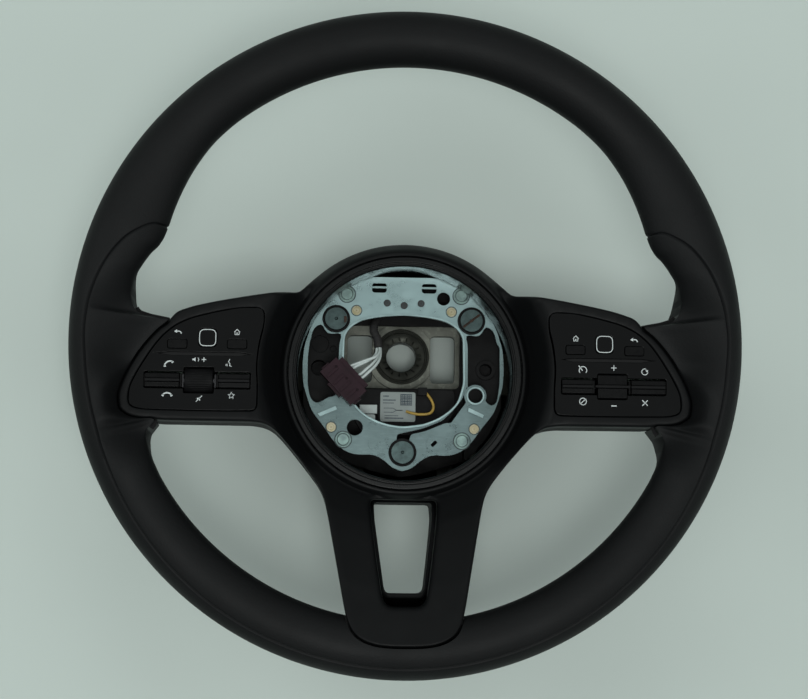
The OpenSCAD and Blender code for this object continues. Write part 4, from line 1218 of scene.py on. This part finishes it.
class WHEEL_OT_hub(WheelJob, bpy.types.Operator):
    """Carrier, control unit, bolts, springs and contacts"""

    bl_idname = "wheel.hub"
    bl_label = "Hub parts"

    rows = [
        ("black_carrier", "carrier", "carrier_plastic", "carrier_plastic", 0.25),
        ("control_box", "control_unit", "carrier_plastic", "carrier_plastic", 0.3),
        ("paper_label", "unit_label", "label_paper", "label", 0.05),
        ("white_latch", "unit_latch", "white_plastic", "white_plastic", 0.2),
        ("steel_bolts", "guide_bolts", "bolt_steel", "bolt_steel", 0.25),
        ("steel_coils", "horn_springs", "bolt_steel", "spring_steel", 0, 60),
        ("fixed_contacts", "horn_contacts", "stud_brass", "brass", 0.15),
        ("lead_clip", "wire_clip", "carrier_plastic", "carrier_plastic", 0.2),
    ]

    def make(self, sizes, look):
        super().make(sizes, look)
        coils = bpy.data.objects["steel_coils"]
        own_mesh(coils)


def ribbon(line, width, closed=False):
    """Points and faces of a flat stroke along a line on the plan."""
    pts = [Vector(p) for p in line]
    n = len(pts)
    left, right = [], []
    for i, p in enumerate(pts):
        a = pts[i - 1] if i or closed else p
        b = pts[(i + 1) % n] if i < n - 1 or closed else p
        t = (b - a).normalized()
        side = Vector((-t.y, t.x)) * width / 2
        left.append(p + side)
        right.append(p - side)
    faces = [[i, n + i, n + (i + 1) % n, (i + 1) % n] for i in range(n if closed else n - 1)]
    return left + right, faces


def arc(x, y, r, a0, a1, n=16):
    """Places along an arc, between two angles."""
    return [polar(r, mix(a0, a1, k / n), x, y) for k in range(n + 1)]


class Signs:
    """Flat strokes and fields, gathered into one mesh: printed signs, and also painted shade and painted
    highlights.
    """

    def __init__(self, z):
        self.z, self.points, self.faces = z, [], []

    def add(self, points, faces):
        base = len(self.points)
        self.points += [(p[0], p[1], self.z) for p in points]
        self.faces += [[base + k for k in f] for f in faces]

    def stroke(self, line, width=0.55, closed=False):
        self.add(*ribbon(line, width, closed))

    def rings(self, spots, r, width, sides):
        for x, y in spots:
            self.stroke(arc(x, y, r, 0, 360, sides)[:-1], width, True)

    def field(self, outline):
        pts = [Vector(p) for p in outline]
        if area(pts) < 0:
            pts.reverse()
        self.add(pts, [list(range(len(pts)))])

    def make(self, name, finish, slot, body="wheel"):
        make_piece(name, self.points, self.faces, finish, body)


RIVETS = [(33, 32), (-33, 32), (34, -52), (-34, -52)]
STUDS = [(27.4, 22.6), (-27.4, 22.6), (41, -45), (-41, -45)]
PINS = [(-9.8, 27.2), (9.8, 27.2), (0, 25.9)]
PLATE_HOLE = [
    (0, 20.1), (13, 19.1), (24, 17), (30.5, 13), (34, 8), (34.5, -19), (31.3, -29.9), (26.2, -35.2),
    (20, -39.4), (11.8, -42.7), (0, -44.2), (-8, -43.2), (-15.1, -41), (-22, -37.4), (-27, -32.5), (-31, -26),
    (-34.5, -18), (-34, 8), (-30.5, 13), (-24, 17), (-13, 19.1)]


def back_arrow(s, x, y):
    s.field([(x - 2.1, y + 0.35), (x - 0.5, y + 1.5), (x - 0.5, y - 0.5)])
    s.stroke([(x - 0.6, y + 0.45), *arc(x + 0.5, y - 0.85, 1.35, 90, 0, 8)], 0.55)


def house(s, x, y):
    s.stroke([(x - 1.55, y - 0.1), (x, y + 1.5), (x + 1.55, y - 0.1)], 0.45)
    s.stroke([(x - 1.15, y + 0.2), (x - 1.15, y - 1.4), (x + 1.15, y - 1.4), (x + 1.15, y + 0.2)], 0.42)
    s.stroke([(x, y - 1.4), (x, y - 0.2)], 0.5)


def handset(s, x, y, turn):
    c, w = polar(1, turn)

    def put(points):
        return [(x + px * c - py * w, y + px * w + py * c) for px, py in points]

    s.stroke(put(arc(0, -2.6, 3.2, 140, 40, 12)), 0.75)
    s.field(put([(-3.1, -0.95), (-2.0, -1.5), (-1.65, -0.5), (-2.6, 0.0)]))
    s.field(put([(3.1, -0.95), (2.0, -1.5), (1.65, -0.5), (2.6, 0.0)]))


def star(s, x, y, r):
    s.stroke([polar(r * 0.45 if k % 2 else r, 90 + 36 * k, x, y) for k in range(10)], 0.4, True)


def speaker(s, x, y):
    half = [(-1.3, 0.45), (-0.5, 0.45), (0.4, 1.2)]
    s.field([(x + i, y + j) for i, j in half + [(i, -j) for i, j in reversed(half)]])


def plus(s, x, y, r=1.0):
    s.stroke([(x - r, y), (x + r, y)], 0.45)
    s.stroke([(x, y - r), (x, y - 0.22)], 0.45)
    s.stroke([(x, y + 0.22), (x, y + r)], 0.45)


class WHEEL_OT_signs(WheelJob, bpy.types.Operator):
    """Plain signs printed on the switch panels and bars on the label, with painted shade and painted
    highlights on the airbag plate
    """

    bl_idname = "wheel.signs"
    bl_label = "Signs"

    def make(self, sizes, look):
        groove = [(86, -9), (92, -8.2), (130, -8.2), (138, -9), (130, -10.2), (92, -10.2)]
        for side, name in ((-1, "left"), (1, "right")):
            s = Signs(PANEL_Z - 0.88)
            s.field([(side * x, y) for x, y in groove])
            s.make(f"{name}_groove", "groove_dark", "gloss_black")
        self.label_marks()
        self.plate_marks()
        s = Signs(PANEL_Z + INK)
        back_arrow(s, -126.0, 2.6)
        house(s, -93.6, 3.1)
        handset(s, -131, -14.4, 28)
        speaker(s, -116.4, -12.4)
        s.stroke(arc(-115.5, -12.4, 1.3, -50, 50, 8), 0.35)
        plus(s, -111.4, -12.4, 1.2)
        s.stroke([(-99.6, -15.2), (-98.6, -14.6), (-98.6, -15.8), (-99.6, -15.2)], 0.35)
        s.stroke([(-97.2, -11.9), (-98.0, -13.4), (-97.1, -14.4), (-97.3, -15.6), (-96.2, -15.9)], 0.4)
        handset(s, -131, -31.6, 0)
        speaker(s, -113.4, -34)
        s.stroke([(-115.3, -35.7), (-111.9, -32.3)], 0.35)
        star(s, -96, -32, 1.9)
        s.make("left_signs", "sign_white", "label")

        s = Signs(PANEL_Z + INK)
        back_arrow(s, 126.1, 2.2)
        house(s, 93.6, 2.8)
        s.stroke(arc(97.6, -14.9, 2.1, -40, 220, 18), 0.45)
        s.stroke([(97.4, -15.1), (95.2, -12.3)], 0.5)
        plus(s, 114.8, -13.3, 1.5)
        s.stroke(arc(132, -15.2, 1.7, 60, 360, 16), 0.42)
        s.field([(133.9, -14.1), (132.4, -14.5), (133.6, -15.6)])
        s.rings([(97.6, -32.2)], 1.9, 0.42, 20)
        s.stroke([(96.2, -33.5), (99, -30.9)], 0.42)
        s.stroke([(113.3, -34.4), (116.3, -34.4)], 0.6)
        s.stroke([(130.6, -34), (133.6, -31)], 0.5)
        s.stroke([(130.6, -31), (133.6, -34)], 0.5)
        s.make("right_signs", "sign_white", "label")

    @staticmethod
    def label_marks():
        s = Signs(LABEL_Z + 0.04)
        for x0, x1, y, w in ((-11, -7.6, -25.2, 0.7), (-11, -3.6, -27.5, 0.7), (-11, -4.6, -29.2, 0.5),
                             (-10, 1, -38, 0.7), (-10, -2, -36.6, 0.4)):
            s.stroke([(x0, y), (x1, y)], w)
        for k in range(7):
            s.stroke([(-0.9, -24.2 - k), (5.9, -24.2 - k)], 0.45 if k % 2 else 0.7)
            s.stroke([(-0.6 + k, -23.9), (-0.6 + k, -30.5)], 0.3 if k % 2 else 0.5)
        for y in (-32.2, -34.6):
            s.stroke([(-10.5, y), (-5, y), (-3.2, -33.4), (0.5, -33.4)], 0.4)
        s.make("label_bars", "label_ink", "label")

    @staticmethod
    def plate_marks():
        """Painted shadow rings round rivets, studs and pins, bolt slots, and painted highlights on the plate's
        lip, eye and bars.
        """
        # Painted shadow rings on the sheet round the rivets and studs.
        s = Signs(SHEET_Z + INK)
        s.rings(RIVETS, 4.85, 0.5, 40)
        s.rings(STUDS, 3.1, 0.35, 32)
        s.make("plate_rings", "zinc_shadow", "zinc_sheet", "horn_plate")
        # Painted shade: a dark ring on each stud's top, with a dark dot at its middle.
        s = Signs(SHEET_Z + 0.63)
        for spot in STUDS:
            s.rings([spot], 1.7, 0.25, 32)
            s.field(arc(*spot, 0.45, 0, 360, 12)[:-1])
        s.make("stud_rings", "stud_ring", "brass", "horn_plate")
        s = Signs(SHEET_Z + 1.52)
        c, w = polar(6.1, 38)
        s.stroke([(39 - c, 17.5 - w), (39 + c, 17.5 + w)], 1.35)
        s.field([(-34.6, 15.15), (-33.2, 15.6), (-32.8, 17.3), (-33.1, 19.0), (-34.6, 19.05)])
        s.make("bolt_slots", "slot_rust", "bolt_steel")
        # Painted highlight on the plate's two embossed bars.
        s = Signs(SHEET_Z + 1.42)
        s.field([(-48.9, -37.5), (-38.7, -33.0), (-37.8, -34.9), (-47.5, -39.0)])
        s.field([(37.8, -32.8), (46.5, -36.9), (45.7, -38.6), (37.4, -34.9)])
        s.make("plate_bars", "plate_lip", "zinc_sheet", "horn_plate")
        # The eye ring is a painted highlight; the rivet and pin rings are painted shadow.
        for name, z, spots, r, width, sides, finish, slot in (
            ("plate_eye", 0.83, [(41.6, -25.8)], 4.72, 0.8, 40, "plate_lip", "zinc_sheet"),
            ("rivet_rings", 0.94, RIVETS, 3.25, 0.3, 40, "zinc_shadow", "rivet_zinc"),
            ("pin_rings", 0.74, PINS, 0.9, 0.35, 24, "zinc_shadow", "dark_steel"),
        ):
            s = Signs(SHEET_Z + z)
            s.rings(spots, r, width, sides)
            s.make(name, finish, slot, "horn_plate")
        # Painted highlight along the lip round the plate's opening.
        s = Signs(SHEET_Z + 1.23)
        line = even(soften(PLATE_HOLE, 3, 4), 1.2)
        if area(line) < 0:
            line.reverse()
        s.stroke([p - n * 0.6 for p, n in zip(line, normals(line))], 0.9, True)
        s.make("plate_lip_shine", "plate_lip", "zinc_sheet", "horn_plate")


CLASSES = [
    WheelSizes, WheelColours, WHEEL_OT_stage, WHEEL_OT_cables, WHEEL_OT_rim, WHEEL_OT_trim, WHEEL_OT_hub_ring,
    WHEEL_OT_panels, WHEEL_OT_keys, WHEEL_OT_signs, WHEEL_OT_castings, WHEEL_OT_plate, WHEEL_OT_hub,
]


class WHEEL_PT_panel(bpy.types.Panel):
    """Lists the sizes, colours and steps of the wheel"""

    bl_idname = "WHEEL_PT_panel"
    bl_label = "Steering wheel"
    bl_space_type = "VIEW_3D"
    bl_region_type = "UI"
    bl_category = "Wheel"

    def draw(self, context):
        for group in (context.scene.wheel_sizes, context.scene.wheel_colours):
            box = self.layout.box()
            for key in group.__annotations__:
                box.prop(group, key)
        for item in CLASSES:
            if issubclass(item, bpy.types.Operator):
                self.layout.operator(item.bl_idname)


def register():
    for item in CLASSES + [WHEEL_PT_panel]:
        bpy.utils.register_class(item)
    bpy.types.Scene.wheel_sizes = PointerProperty(type=WheelSizes)
    bpy.types.Scene.wheel_colours = PointerProperty(type=WheelColours)


def unregister():
    del bpy.types.Scene.wheel_sizes
    del bpy.types.Scene.wheel_colours
    for item in reversed(CLASSES + [WHEEL_PT_panel]):
        bpy.utils.unregister_class(item)


def main():
    register()
    bpy.context.scene.view_settings.view_transform = "Standard"
    bpy.ops.wheel.stage()
    bpy.ops.wheel.cables()
    bpy.ops.wheel.rim()
    bpy.ops.wheel.trim()
    bpy.ops.wheel.hub_ring()
    bpy.ops.wheel.panels()
    bpy.ops.wheel.keys()
    bpy.ops.wheel.signs()
    bpy.ops.wheel.castings()
    bpy.ops.wheel.plate()
    bpy.ops.wheel.hub()


if __name__ == "__main__":
    main()
